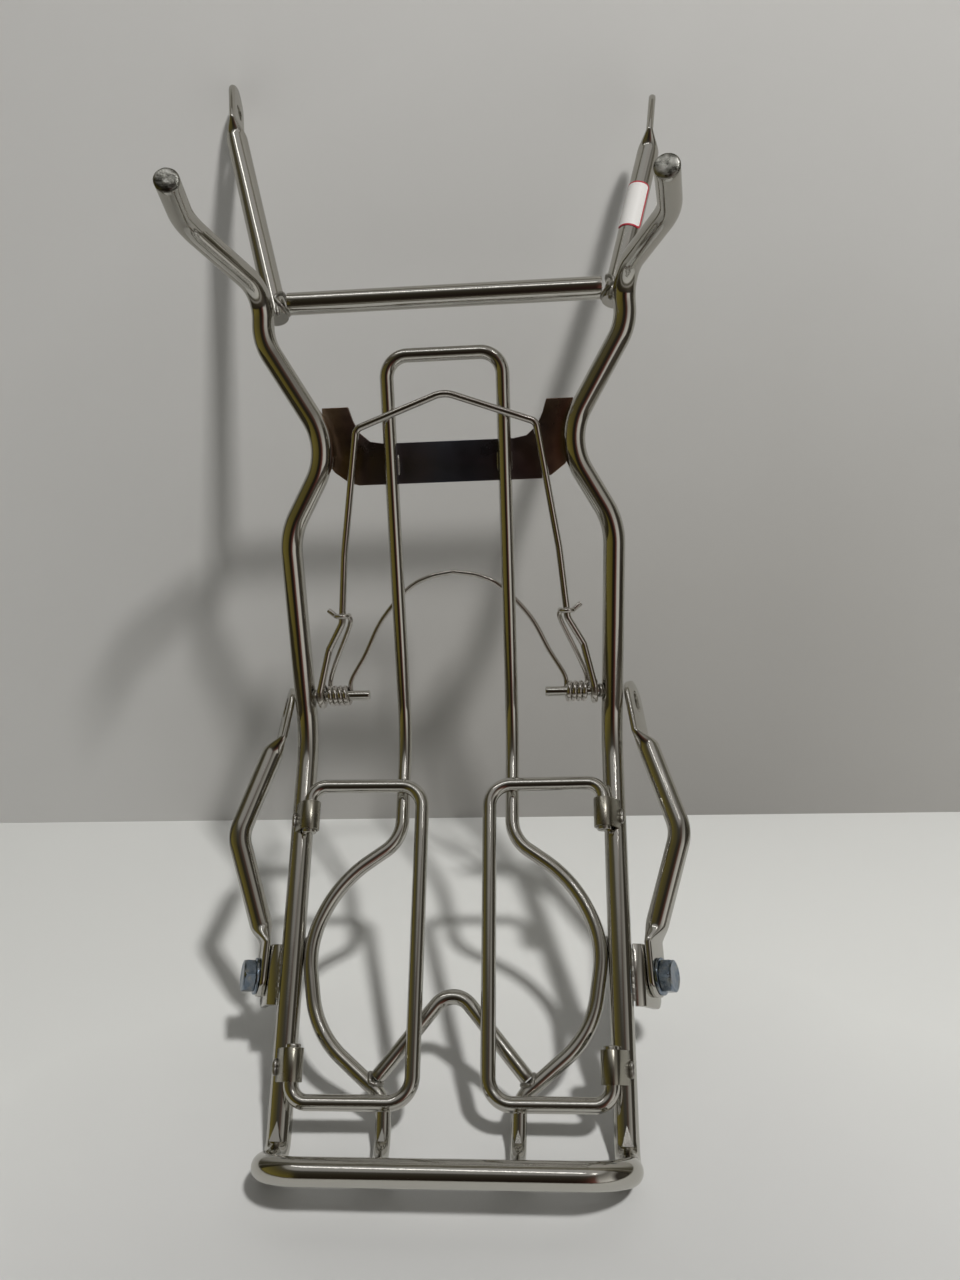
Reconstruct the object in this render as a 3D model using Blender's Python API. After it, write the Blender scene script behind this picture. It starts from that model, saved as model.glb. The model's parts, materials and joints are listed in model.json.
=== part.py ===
"""Folding luggage rack for the middle of a small motorcycle, made of polished stainless tube and rod.

The rack stands on the bends of its package loop and leans back: X runs across it, +Z is up and -Y is the
front, the side that takes the luggage.  Lengths are in metres.  Two planes carry the design: the lower
plane (x across, s up the rails from the foot bend, n towards the front) and the upper plane (x, v up from
the knee, n towards the front).
"""
import math

import bmesh
import bpy
from mathutils import Matrix, Vector

# ---- driving dimensions ----
TUBE_R = 0.00635            # main tube, 12.7 mm
ROD_R = 0.004               # loop, brace and wing rod, 8 mm
BAIL_R = 0.0021             # bail wire
SPRING_R = 0.0015           # spring wire
GAP = 0.0003                # between pieces that touch or are welded

LOWER_LEAN = math.radians(46.3)     # lower plane, back from vertical
UPPER_LEAN = math.radians(11.7)     # upper plane, back from vertical
LOWER_LENGTH = 0.228                # foot bend to knee
FOOT_HEIGHT = 0.0021                # rail corner above the floor
ORIGIN_Y = 0.1439                   # the foot corner lies this far in front of the origin

FOOT_X = 0.0886             # half the distance between the rails at the foot
KNEE_X = 0.0920             # and at the knee
LIP = 0.042                 # length of the lip that the bottom bar closes
LIP_DROP = 0.0026           # how far the bar lies below the square to the rails
LOOP_X = 0.0330             # half width of the package loop
LOOP_TOP = 0.2235           # its top bar above the knee
LOOP_SET_BACK = 0.0022      # the loop's upper part sits this far behind the rails' centreline
PLATE_T = 0.0025

HINGE_INSET = 0.0068        # wing hinge line, inside the rail's centreline
HINGE_N = 0.0102            # and in front of it
WING_IN_X = 0.0195          # inner side of a folded wing
WING_IN_N = 0.0086
WING_LOW = 0.0265           # wing's bottom and top bars, up the rails
WING_HIGH = 0.1935
WING_END_R = 0.009          # bend beside the hinge
WING_IN_R = 0.0125          # bend on the inner side
CLIP_LENGTH = 0.0165
CLIP_T = 0.0013

PIN_V = 0.0255              # spring pins above the knee
PIN_R = 0.003
PIN_END_X = 0.053
BAIL_EYE_X = 0.0820
COIL_X = 0.0780             # outer turn of a spring coil
COIL_R = 0.0049
COIL_TURNS = 4
COIL_PITCH = 0.0031

STAY_YAW = math.radians(25)         # the stay bolts point outward and this far forward
STAY_BOLT_X = 0.1065
STAY_BOLT_N = -0.012
STAY_BOLT_S = 0.090
STAY_LENGTH = 0.156                 # bolt to free hole
STAY_BOW = 0.0225                   # how far the middle bows outward
STAY_LEAN = 0.0145                  # how far the free end lies in front of the bolt
STAY_FLARE = (0.0052, 0.0007)       # how far the free tab's base and tip stand outward of the bolt
STAY_SHIFT = 0.0035                 # its tube's centre stands this far outward of its tabs
STAY_SLOT = (0.0033, 0.0060)        # its slot: end radius and length between the end centres
TAB_HALF = 0.0108                   # half width of a flattened tube end
TAB_R = 0.002                       # half its thickness
TAB_TRANSITION = 0.010              # from round tube to flat tab
TAB_HOLE_R = 0.0045
BOLT_R = 0.005
BRACKET_T = 0.003
BRACKET_HEIGHT = 0.032

ARM_X = 0.0995              # an arm's centre where the crossbar meets it
CROSSBAR_V = 0.2575         # the crossbar above the knee
ARM_N = -0.0147             # arms and crossbar lie behind the rails
CROSSBAR_END_GAP = 0.0020   # clear of the slanting arms
ARM_FOOT = 0.010            # how far an arm runs on below the crossbar
ARM_STEP = (0.1265, 0.2936, 0.4950)     # where an arm's tube is pressed flat, from the foot corner
ARM_TIP = (0.1315, 0.3216, 0.5262)      # tip of the flattened tab
ARM_EXTRA = {-1: 0.0100, 1: -0.0200}    # the left arm is longer than the right one
HORN_EXTRA = {-1: 0.0040, 1: -0.0035}   # and so is the left horn

TUBE_SIDES = 14
ROD_SIDES = 10
WIRE_SIDES = 8


# ---- the two planes ----
def lower(x, s, n=0.0):
    """World point in the lower plane."""
    y = s * math.sin(LOWER_LEAN) - n * math.cos(LOWER_LEAN)
    z = s * math.cos(LOWER_LEAN) + n * math.sin(LOWER_LEAN)
    return Vector((x, y - ORIGIN_Y, z + FOOT_HEIGHT))


def upper(x, v, n=0.0):
    """World point in the upper plane."""
    knee = lower(0.0, LOWER_LENGTH)
    y = v * math.sin(UPPER_LEAN) - n * math.cos(UPPER_LEAN)
    z = v * math.cos(UPPER_LEAN) + n * math.sin(UPPER_LEAN)
    return knee + Vector((x, y, z))


def from_foot(x, y, z):
    """World point given from the foot corner."""
    return Vector((x, y - ORIGIN_Y, z + FOOT_HEIGHT))


def rail_x(s):
    """The rails spread a little from the foot to the knee."""
    return FOOT_X + (KNEE_X - FOOT_X) * s / LOWER_LENGTH


def mirrored(points):
    return [Vector((-p.x, p.y, p.z)) for p in points]


# ---- materials ----
def material(name, colour, roughness, metallic):
    mat = bpy.data.materials.new(name)
    mat.use_nodes = True
    shader = mat.node_tree.nodes["Principled BSDF"]
    shader.inputs["Base Color"].default_value = (*colour, 1.0)
    shader.inputs["Roughness"].default_value = roughness
    shader.inputs["Metallic"].default_value = metallic
    return mat


def make_materials():
    return {
        "steel": material("polished_steel", (0.62, 0.60, 0.56), 0.12, 1.0),
        "wire": material("spring_steel", (0.55, 0.54, 0.52), 0.2, 1.0),
        "tinted": material("heat_tinted_steel", (0.16, 0.11, 0.10), 0.22, 1.0),
        "zinc": material("zinc_plate", (0.48, 0.53, 0.62), 0.35, 1.0),
        "label": material("label", (0.85, 0.84, 0.82), 0.4, 0.0),
    }


# ---- paths ----
def bent(corners, radii, steps=5):
    """Points along straight runs joined by arcs: one radius for each inner corner."""
    points = [corners[0]]
    for before, corner, after, radius in zip(corners, corners[1:], corners[2:], radii):
        u = (before - corner).normalized()
        w = (after - corner).normalized()
        angle = u.angle(w)
        reach = radius / math.tan(angle / 2)
        centre = corner + (u + w).normalized() * radius / math.sin(angle / 2)
        start = corner + u * reach - centre
        end = corner + w * reach - centre
        sweep = start.angle(end)
        for k in range(steps + 1):
            f = k / steps
            side = math.sin((1 - f) * sweep) * start + math.sin(f * sweep) * end
            points.append(centre + side / math.sin(sweep))
    points.append(corners[-1])
    return points


def smooth(points, steps=5):
    """A Catmull-Rom curve through the points."""
    ends = [2 * points[0] - points[1]] + points + [2 * points[-1] - points[-2]]
    out = []
    for a, b, c, d in zip(ends, ends[1:], ends[2:], ends[3:]):
        for k in range(steps):
            t = k / steps
            out.append(0.5 * (2 * b + (c - a) * t + (2 * a - 5 * b + 4 * c - d) * t ** 2
                              + (3 * b - a - 3 * c + d) * t ** 3))
    return out + [points[-1]]


def turns(centre, axis, start, angle, travel=0.0, steps=12):
    """Points that go round an axis from the offset start, and travel along it meanwhile."""
    points = []
    count = max(2, round(abs(angle) / math.tau * steps))
    for k in range(count + 1):
        f = k / count
        points.append(centre + Matrix.Rotation(angle * f, 3, axis) @ start + axis * travel * f)
    return points


# ---- mesh building ----
def add_object(name, mesh, mat, parent=None):
    obj = bpy.data.objects.new(name, mesh)
    bpy.context.scene.collection.objects.link(obj)
    mesh.materials.append(mat)
    mesh.shade_smooth()
    mesh.set_sharp_from_angle(angle=math.radians(40))
    if parent:
        obj.parent = parent
    return obj


def pivot(name, location):
    """An empty on a joint's axis, for the moving pieces to hang on."""
    empty = bpy.data.objects.new(name, None)
    bpy.context.scene.collection.objects.link(empty)
    empty.location = location
    return empty


def ring(half, radius, sides):
    """A cross-section: a circle, or with half above 0 a flat strip with round edges."""
    points = []
    for side in (1, -1):
        for k in range(sides // 2):
            angle = math.pi * ((k + 0.5) / (sides // 2) - 0.5)
            points.append((side * (half + radius * math.cos(angle)), side * radius * math.sin(angle)))
    return points


def loft(name, path, mat, sections, side=None, parent=None, closed=False):
    """A tube along a path; sections gives each point's ring, and side the direction of its width."""
    origin = parent.location if parent else Vector()
    count = len(path)
    tangents = []
    for k in range(count):
        before = path[(k - 1) % count] if closed or k else path[0]
        after = path[(k + 1) % count] if closed or k < count - 1 else path[-1]
        tangents.append((after - before).normalized())
    wide = side or tangents[0].orthogonal()
    bm = bmesh.new()
    rings = []
    for centre, along, section in zip(path, tangents, sections):
        wide = (wide - along * wide.dot(along)).normalized()
        thin = along.cross(wide)
        rings.append([bm.verts.new(centre - origin + wide * a + thin * b) for a, b in section])
    pairs = list(zip(rings, rings[1:])) + ([(rings[-1], rings[0])] if closed else [])
    for low, high in pairs:
        for k in range(len(low)):
            j = (k + 1) % len(low)
            bm.faces.new((low[k], low[j], high[j], high[k]))
    if not closed:
        bm.faces.new(reversed(rings[0]))
        bm.faces.new(rings[-1])
    bmesh.ops.recalc_face_normals(bm, faces=bm.faces)
    mesh = bpy.data.meshes.new(name)
    bm.to_mesh(mesh)
    bm.free()
    return add_object(name, mesh, mat, parent)


def rod(name, path, radius, mat, sides=ROD_SIDES, parent=None):
    return loft(name, path, mat, [ring(0.0, radius, sides)] * len(path), parent=parent)


def extrude(name, outline, place, depth, mat, hole=None, parent=None):
    """A sheet: place maps (a, b, height) to a point, and hole is a (centre, radius) circle."""
    origin = parent.location if parent else Vector()
    bm = bmesh.new()
    loops = [outline]
    if hole:
        (ca, cb), radius = hole
        steps = 24
        loops.append([(ca + radius * math.cos(math.tau * k / steps),
                       cb + radius * math.sin(math.tau * k / steps)) for k in range(steps)])
    for height in (0.0, depth):
        edges = []
        for loop in loops:
            verts = [bm.verts.new(place(a, b, height) - origin) for a, b in loop]
            edges += [bm.edges.new((v, w)) for v, w in zip(verts, verts[1:] + verts[:1])]
        bmesh.ops.triangle_fill(bm, edges=edges, use_beauty=True, use_dissolve=False)
    bm.verts.ensure_lookup_table()
    total = len(bm.verts) // 2
    first = 0
    for loop in loops:
        for k in range(len(loop)):
            j = (k + 1) % len(loop)
            quad = (first + k, first + j, total + first + j, total + first + k)
            bm.faces.new([bm.verts[q] for q in quad])
        first += len(loop)
    bmesh.ops.recalc_face_normals(bm, faces=bm.faces)
    mesh = bpy.data.meshes.new(name)
    bm.to_mesh(mesh)
    bm.free()
    return add_object(name, mesh, mat, parent)


def drill(obj, centre, axis, radius, slot=Vector()):
    """Cuts a round hole, or a slot along a vector, through an object."""
    depth = 0.03
    steps = 12
    long_way = slot.normalized() if slot.length else axis.orthogonal().normalized()
    cross = axis.cross(long_way).normalized()
    bm = bmesh.new()
    rings = []
    for height in (-depth / 2, depth / 2):
        points = []
        for end in (1, -1):
            for k in range(steps + 1 if slot.length else steps):
                angle = math.pi * (k / steps - 0.5)
                reach = long_way * math.cos(angle) + cross * math.sin(angle)
                points.append(bm.verts.new(centre + axis * height + end * (slot / 2 + reach * radius)))
        rings.append(points)
    low, high = rings
    for k in range(len(low)):
        j = (k + 1) % len(low)
        bm.faces.new((low[k], low[j], high[j], high[k]))
    bm.faces.new(low)
    bm.faces.new(high)
    bmesh.ops.recalc_face_normals(bm, faces=bm.faces)
    mesh = bpy.data.meshes.new(obj.name + "_cut")
    bm.to_mesh(mesh)
    bm.free()
    cutter = bpy.data.objects.new(mesh.name, mesh)
    bpy.context.scene.collection.objects.link(cutter)
    cutter.hide_render = True
    cutter.display_type = "WIRE"
    cut = obj.modifiers.new("hole", "BOOLEAN")
    cut.operation = "DIFFERENCE"
    cut.object = cutter


# ---- welded frame ----
def rail_corners(side):
    """From the lip's bar corner up to the horn tip."""
    extra = HORN_EXTRA[side]
    corners = [
        lower(FOOT_X, -LIP_DROP, LIP),
        lower(FOOT_X, 0.0),
        lower(KNEE_X, LOWER_LENGTH),
        upper(0.0955, 0.1240),
        upper(0.0676, 0.1725),
        upper(0.1036, 0.2345),
        upper(0.1018, 0.2620),
        from_foot(0.1240 + extra / 2, 0.1720, 0.4460 + extra),
        from_foot(0.1185 + extra / 2, 0.1410, 0.4625 + extra),
    ]
    return corners if side > 0 else mirrored(corners)


RAIL_RADII = [0.011, 0.055, 0.042, 0.037, 0.030, 0.022, 0.035]
LIP_CORNER_R = 0.022


def frame_tube(mat):
    """One tube: horn, rail, lip and bottom bar, then the same up the other side."""
    right = rail_corners(1)
    left = rail_corners(-1)
    radii = RAIL_RADII[::-1] + [LIP_CORNER_R, LIP_CORNER_R] + RAIL_RADII
    rod("frame_tube", bent(left[::-1] + right, radii), TUBE_R, mat, TUBE_SIDES)


def horn_cap(name, side, mat):
    """The disc that closes a horn."""
    tip, before = rail_corners(side)[-1], rail_corners(side)[-2]
    along = (tip - before).normalized()
    start = tip + along * GAP
    path = [start, start + along * 0.0009, start + along * 0.0014]
    sections = [ring(0.0, r, TUBE_SIDES) for r in (TUBE_R, TUBE_R, TUBE_R - 0.0006)]
    loft(name, path, mat, sections)


def arm_path(side):
    """One arm's foot, step and tab tip: it stands on the rail's back."""
    crossing = upper(ARM_X, CROSSBAR_V, ARM_N)
    step = from_foot(*ARM_STEP)
    along = (step - crossing).normalized()
    extra = along * ARM_EXTRA[side]
    points = [crossing - along * ARM_FOOT, step + extra, from_foot(*ARM_TIP) + extra]
    return points if side > 0 else mirrored(points)


def tab_sections(step, tip, path_before, shift=Vector()):
    """Path and rings of a tube end pressed flat: the tube up to the step, then a round-ended tab.

    shift is how far the tube's centre stands off the tab's.
    """
    along = (tip - step).normalized()
    length = (tip - step).length
    path = list(path_before)
    sections = [ring(0.0, TUBE_R, TUBE_SIDES)] * len(path)
    for f, half, radius in ((0.0, 0.0, TUBE_R), (0.0030, 0.0030, 0.0050), (0.0070, 0.0078, 0.0028),
                            (TAB_TRANSITION, TAB_HALF - TAB_R, TAB_R)):
        path.append(step + along * f + shift * (1 - f / TAB_TRANSITION))
        sections.append(ring(half, radius, TUBE_SIDES))
    for angle in (0.0, 25.0, 50.0, 70.0):
        a = math.radians(angle)
        path.append(step + along * (length - TAB_HALF + TAB_HALF * math.sin(a)))
        sections.append(ring(max(TAB_HALF * math.cos(a) - TAB_R, 0.0002), TAB_R, TUBE_SIDES))
    return path, sections


def arm(name, side, mat):
    """Straight tube with its upper end pressed flat and drilled."""
    foot, step, tip = arm_path(side)
    wide = tab_width(side)
    path, sections = tab_sections(step, tip, [foot])
    obj = loft(name, path, mat, sections, side=wide)
    centre, normal = tab_hole(side)
    drill(obj, centre, normal, TAB_HOLE_R)


def crossbar(mat):
    """Straight tube between the arms."""
    end = ARM_X - TUBE_R - CROSSBAR_END_GAP
    path = [upper(x, CROSSBAR_V, ARM_N) for x in (-end, end)]
    rod("crossbar", path, TUBE_R, mat, TUBE_SIDES)


def tab_width(side):
    """Direction across the flat of an arm's tab: square to the tab and to the lateral bolt."""
    points = arm_path(side)
    return (points[2] - points[1]).cross(Vector((side, 0.0, 0.0))).normalized()


def tab_hole(side):
    points = arm_path(side)
    along = (points[2] - points[1]).normalized()
    centre = points[2] - along * 0.019
    return centre, along.cross(tab_width(side)).normalized()


def loop_corners(side):
    """Package loop, from the back of the bottom bar to its top corner."""
    bulge = rail_x(0.106) - TUBE_R - ROD_R - GAP
    corners = [
        lower(0.0338, -LIP_DROP, LIP - TUBE_R - GAP),
        lower(0.0345, 0.0),
        lower(0.0352, 0.0290),
        lower(0.0735, 0.0600),
        lower(bulge + 0.0021, 0.1060),
        lower(0.0665, 0.1400),
        lower(0.0320, 0.1640),
        lower(LOOP_X - 0.0005, LOWER_LENGTH, -LOOP_SET_BACK / 2),
        upper(LOOP_X + 0.0005, LOOP_TOP, -LOOP_SET_BACK),
    ]
    return corners if side > 0 else mirrored(corners)


LOOP_RADII = [0.015, 0.015, 0.050, 0.051, 0.070, 0.021, 0.060, 0.0125]


def package_loop(mat):
    path = bent(loop_corners(-1) + loop_corners(1)[::-1], LOOP_RADII + LOOP_RADII[::-1], 4)
    rod("package_loop", path, ROD_R, mat)


def brace_rod(mat):
    """The V between the loop's two lower sides; its ends stop square on them."""
    apex = lower(0.0, 0.0850)
    ends = []
    for side in (-1, 1):
        met = lower(side * 0.0425, 0.0349)
        ends.append(met + (apex - met).normalized() * (ROD_R + GAP + 0.0001))
    rod("brace_rod", bent([ends[0], apex, ends[1]], [0.012], 8), ROD_R, mat)


def saddle_plate(mat):
    """The plate behind the waist, with an ear on each side."""
    half = [(0.0, 0.1510), (0.0540, 0.1510), (0.0600, 0.1530), (0.0680, 0.1590), (0.0735, 0.1670),
            (0.0735, 0.1965), (0.0580, 0.1965), (0.0555, 0.1885), (0.0520, 0.1815), (0.0460, 0.1762),
            (0.0380, 0.1748)]
    outline = half + [(-x, v) for x, v in reversed(half[1:])]
    back = -(TUBE_R + GAP + PLATE_T)
    extrude("saddle_plate", outline, lambda x, v, h: upper(x, v, back + h), PLATE_T, mat)


def clip_outline():
    """A strap round a wing rod, open towards the rail; a runs across and b from the rail's centre."""
    reach = math.hypot(HINGE_INSET, HINGE_N)
    inner = ROD_R + 0.0004
    outer = inner + CLIP_T
    steps = 10
    points = []
    for radius, order in ((outer, 1), (inner, -1)):
        arc = [(radius * math.cos(math.pi * k / steps), reach + radius * math.sin(math.pi * k / steps))
               for k in range(steps + 1)]
        foot = math.sqrt(TUBE_R ** 2 - radius ** 2) + GAP + 0.0002
        points += ([(radius, foot)] + arc + [(-radius, foot)])[::order]
    return points


def wing_clip(name, side, low, mat):
    out = Vector((-HINGE_INSET, HINGE_N)).normalized()

    def place(a, b, height):
        x = rail_x(low + height) + out.x * b - out.y * a
        n = out.y * b + out.x * a
        return lower(side * x, low + height, n)

    extrude(name, clip_outline(), place, CLIP_LENGTH, mat)


def spring_pin(name, side, mat):
    start = KNEE_X - TUBE_R + 0.0002
    path = [upper(side * x, PIN_V) for x in (start, PIN_END_X + 0.0008, PIN_END_X)]
    loft(name, path, mat, [ring(0.0, r, ROD_SIDES) for r in (PIN_R, PIN_R, PIN_R - 0.0007)])


# ---- stays, their brackets and bolts ----
def stay_frame(side):
    """Origin on the bolt axis at the bracket's middle; outward, forward and upward directions."""
    origin = lower(side * STAY_BOLT_X, STAY_BOLT_S, STAY_BOLT_N)
    front = lower(0.0, 0.0, 1.0) - lower(0.0, 0.0)
    up = lower(0.0, 1.0) - lower(0.0, 0.0)
    across = Vector((side, 0.0, 0.0))
    outward = across * math.cos(STAY_YAW) + front * math.sin(STAY_YAW)
    forward = front * math.cos(STAY_YAW) - across * math.sin(STAY_YAW)
    return origin, outward, forward, up


def stay_bracket(name, side, mat):
    """Bent sheet: one flange on the rail, the other square to the bolt."""
    origin, outward, forward, up = stay_frame(side)
    inner = -BRACKET_T / 2
    outer = BRACKET_T / 2
    half = BRACKET_HEIGHT / 2
    back = -0.0115
    front = 0.0112
    bm = bmesh.new()
    profile = [(inner, back), (outer, back), (outer, front), (-0.0029, 0.0156), (-0.0044, 0.0135),
               (inner, front - 0.0010)]
    base = [bm.verts.new(origin + outward * a + forward * b - up * half) for a, b in profile]
    top = [bm.verts.new(v.co + up * BRACKET_HEIGHT) for v in base]
    bm.faces.new(base)
    bm.faces.new(top)
    for k in range(len(base)):
        j = (k + 1) % len(base)
        bm.faces.new((base[k], base[j], top[j], top[k]))
    bm.edges.ensure_lookup_table()
    free = [e for e in bm.edges if {base[0], base[1]} == set(e.verts) or {top[0], top[1]} == set(e.verts)]
    bmesh.ops.bevel(bm, geom=free, offset=0.006, segments=5, profile=0.5, affect="EDGES")
    bmesh.ops.recalc_face_normals(bm, faces=bm.faces)
    mesh = bpy.data.meshes.new(name)
    bm.to_mesh(mesh)
    bm.free()
    obj = add_object(name, mesh, mat)
    drill(obj, origin, outward, BOLT_R + GAP)


def stay(name, side, mat):
    """Tube pressed flat and drilled at both ends, bowed outward in the middle."""
    origin, outward, forward, up = stay_frame(side)
    seat = BRACKET_T / 2 + GAP + TAB_R
    lean = STAY_LEAN / STAY_LENGTH

    def at(height, bow=0.0):
        return origin + outward * (seat + bow) + forward * height * lean + up * height

    holder = pivot(name + "_pivot", origin + outward * seat)
    bottom = [at(0.028), at(-0.0108)]
    top = [at(STAY_LENGTH - 0.030, STAY_FLARE[0]), at(STAY_LENGTH + 0.0125, STAY_FLARE[1])]
    shift = outward * STAY_SHIFT
    middle = bent([bottom[0] + shift, at(0.076, STAY_BOW), top[0] + shift], [0.022], 5)[1:-1]
    path, sections = tab_sections(*top, middle, shift)
    ends, end_sections = tab_sections(*bottom, [], shift)
    path = ends[::-1] + path
    sections = end_sections[::-1] + sections
    obj = loft(name, path, mat, sections, side=forward, parent=holder)
    drill(obj, at(0.0), outward, BOLT_R + GAP)
    slot_r, slot_length = STAY_SLOT
    drill(obj, top[0].lerp(top[1], 0.030 / 0.0425), outward, slot_r, (at(1.0) - at(0.0)).normalized() * slot_length)


def hexagon(radius):
    return [(radius * math.cos(math.radians(60 * k)), radius * math.sin(math.radians(60 * k)))
            for k in range(6)]


def stay_bolt(names, side, mat):
    """Bolt, washer and nut through the bracket and the stay."""
    origin, outward, forward, up = stay_frame(side)
    bolt, washer, nut = names
    head = BRACKET_T / 2 + GAP + 2 * TAB_R + GAP + 0.0015 + GAP
    head_height = 0.0064
    hex_r = 0.0092

    def place(a, b, height):
        return origin + outward * height + up * a + forward * b

    bm = bmesh.new()
    levels = [(-0.0125, BOLT_R - 0.0008), (-0.0115, BOLT_R), (head, BOLT_R)]
    rings = [[bm.verts.new(place(r * math.cos(math.tau * k / 24), r * math.sin(math.tau * k / 24), h))
              for k in range(24)] for h, r in levels]
    for height, factor in ((head, 1.0), (head + head_height - 0.0012, 1.0), (head + head_height, 0.88)):
        points = []
        for k in range(24):
            angle = math.tau * k / 24
            flat = math.cos(math.radians(30)) / math.cos((angle + math.pi / 6) % (math.pi / 3) - math.pi / 6)
            r = hex_r * (flat if factor == 1.0 else min(flat, factor))
            points.append(bm.verts.new(place(r * math.cos(angle), r * math.sin(angle), height)))
        rings.append(points)
    for low, high in zip(rings, rings[1:]):
        for k in range(24):
            j = (k + 1) % 24
            bm.faces.new((low[k], low[j], high[j], high[k]))
    bm.faces.new(rings[0])
    bm.faces.new(rings[-1])
    bmesh.ops.recalc_face_normals(bm, faces=bm.faces)
    mesh = bpy.data.meshes.new(bolt)
    bm.to_mesh(mesh)
    bm.free()
    add_object(bolt, mesh, mat)

    washer_start = head - GAP - 0.0015
    disc = [(0.0098 * math.cos(math.tau * k / 24), 0.0098 * math.sin(math.tau * k / 24)) for k in range(24)]
    extrude(washer, disc, lambda a, b, h: place(a, b, washer_start + h), 0.0015, mat,
            hole=((0.0, 0.0), BOLT_R + GAP))
    nut_start = -BRACKET_T / 2 - GAP - 0.008
    extrude(nut, hexagon(hex_r), lambda a, b, h: place(a, b, nut_start + h), 0.008, mat,
            hole=((0.0, 0.0), BOLT_R + GAP))


# ---- wings ----
def wing(name, side, mat):
    """A bent rod whose two ends turn in the clips on the rail."""

    def on_hinge(s):
        return lower(side * (rail_x(s) - HINGE_INSET), s, HINGE_N)

    holder = pivot(name + "_pivot", on_hinge(WING_LOW))
    inside = WING_END_R + CLIP_LENGTH + 0.0022
    corners = [
        on_hinge(WING_HIGH - inside),
        on_hinge(WING_HIGH),
        lower(side * WING_IN_X, WING_HIGH, WING_IN_N),
        lower(side * WING_IN_X, WING_LOW, WING_IN_N),
        on_hinge(WING_LOW),
        on_hinge(WING_LOW + inside),
    ]
    radii = [WING_END_R, WING_IN_R, WING_IN_R, WING_END_R]
    rod(name, bent(corners, radii), ROD_R, mat, parent=holder)


# ---- bail and its spring ----
def bail_n(v):
    """The bail's plane: on the pin's axis below, on the front of the loop above."""
    top = ROD_R - LOOP_SET_BACK + BAIL_R + 2 * GAP
    return top * (v - PIN_V) / (0.186 - PIN_V)


def bail_point(x, v):
    return upper(x, v, bail_n(v))


def bail(mat):
    holder = pivot("bail_pivot", upper(0.0, PIN_V))
    eye = PIN_R + BAIL_R + 2 * GAP
    up = upper(0.0, 1.0) - upper(0.0, 0.0)
    front = upper(0.0, 0.0, 1.0) - upper(0.0, 0.0)
    sides = []
    for side in (1, -1):
        centre = upper(side * BAIL_EYE_X, PIN_V)
        angle = math.radians(285)
        eye_turn = turns(centre, Vector((1.0, 0.0, 0.0)), front * eye, angle)[::-1]
        leg = [bail_point(side * x, v) for x, v in ((0.0815, 0.0350), (0.0763, 0.0540), (0.0672, 0.0700),
                                                    (0.0632, 0.1110), (0.0518, 0.1830))]
        leg[0] = centre + front * eye + up * 0.004
        sides.append(eye_turn[:-1] + bent([eye_turn[-1]] + leg, [0.002, 0.006, 0.008, 0.05], 4)[1:-1])
    top = bent([sides[0][-1], bail_point(0.0518, 0.1830), bail_point(0.0, 0.2015),
                bail_point(-0.0518, 0.1830), sides[1][-1]], [0.005, 0.016, 0.005], 6)
    rod("bail", sides[0] + top[1:-1] + sides[1][::-1], BAIL_R, mat, WIRE_SIDES, holder)


def torsion_spring(mat):
    """One wire: hook, arm, coil, the arch behind the loop, coil, arm and hook."""
    up = upper(0.0, 1.0) - upper(0.0, 0.0)
    front = upper(0.0, 0.0, 1.0) - upper(0.0, 0.0)
    hook_v = 0.0745
    hook_r = BAIL_R + SPRING_R + GAP
    halves = []
    for side in (1, -1):
        across = Vector((side, 0.0, 0.0))
        leg = bail_point(side * 0.0668, hook_v)
        tail = leg + across * (hook_r + 0.0045) + up * 0.0035 - front * 0.0010
        hook = turns(leg, up, across * hook_r, -side * math.radians(200), 0.0, 12)
        inner_x = COIL_X - COIL_TURNS * COIL_PITCH
        coil = turns(upper(side * COIL_X, PIN_V), across, -front * COIL_R,
                     math.tau * COIL_TURNS * side, -COIL_TURNS * COIL_PITCH, 10)
        arm = [hook[-1] - up * 0.0060 - front * 0.0012, upper(side * 0.0728, 0.0470, -0.0030),
               upper(side * (COIL_X - 0.0003), PIN_V + 0.0085, -COIL_R)]
        arch = [upper(side * (inner_x - 0.0008), PIN_V + 0.0085, -COIL_R - 0.0004),
                upper(side * 0.0560, 0.0490, -0.0080), upper(side * 0.0452, 0.0695, -0.0092),
                upper(side * 0.0285, 0.0880, -0.0092), upper(side * 0.0150, 0.0952, -0.0092)]
        halves.append([tail] + hook + smooth(arm, 3) + coil + smooth(arch, 3))
    apex = upper(0.0, 0.0980, -0.0092)
    rod("torsion_spring", halves[0] + [apex] + halves[1][::-1], SPRING_R, mat, WIRE_SIDES)


def arm_label(mat):
    """A plain label wrapped round the right arm."""
    foot, step = arm_path(1)[:2]
    along = (step - foot).normalized()
    facing = Vector((-0.35, -1.0, 0.0))
    facing = (facing - along * facing.dot(along)).normalized()
    across = along.cross(facing)
    start = foot.lerp(step, 0.46)
    inner = TUBE_R + 0.0001
    outer = inner + 0.0004
    spread = math.radians(75)
    steps = 10
    outline = []
    for radius, order in ((outer, 1), (inner, -1)):
        arc = [(radius * math.sin(spread * (2 * k / steps - 1)), radius * math.cos(spread * (2 * k / steps - 1)))
               for k in range(steps + 1)]
        outline += arc[::order]
    extrude("arm_label", outline, lambda a, b, h: start + across * a + facing * b + along * h, 0.030, mat)


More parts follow.
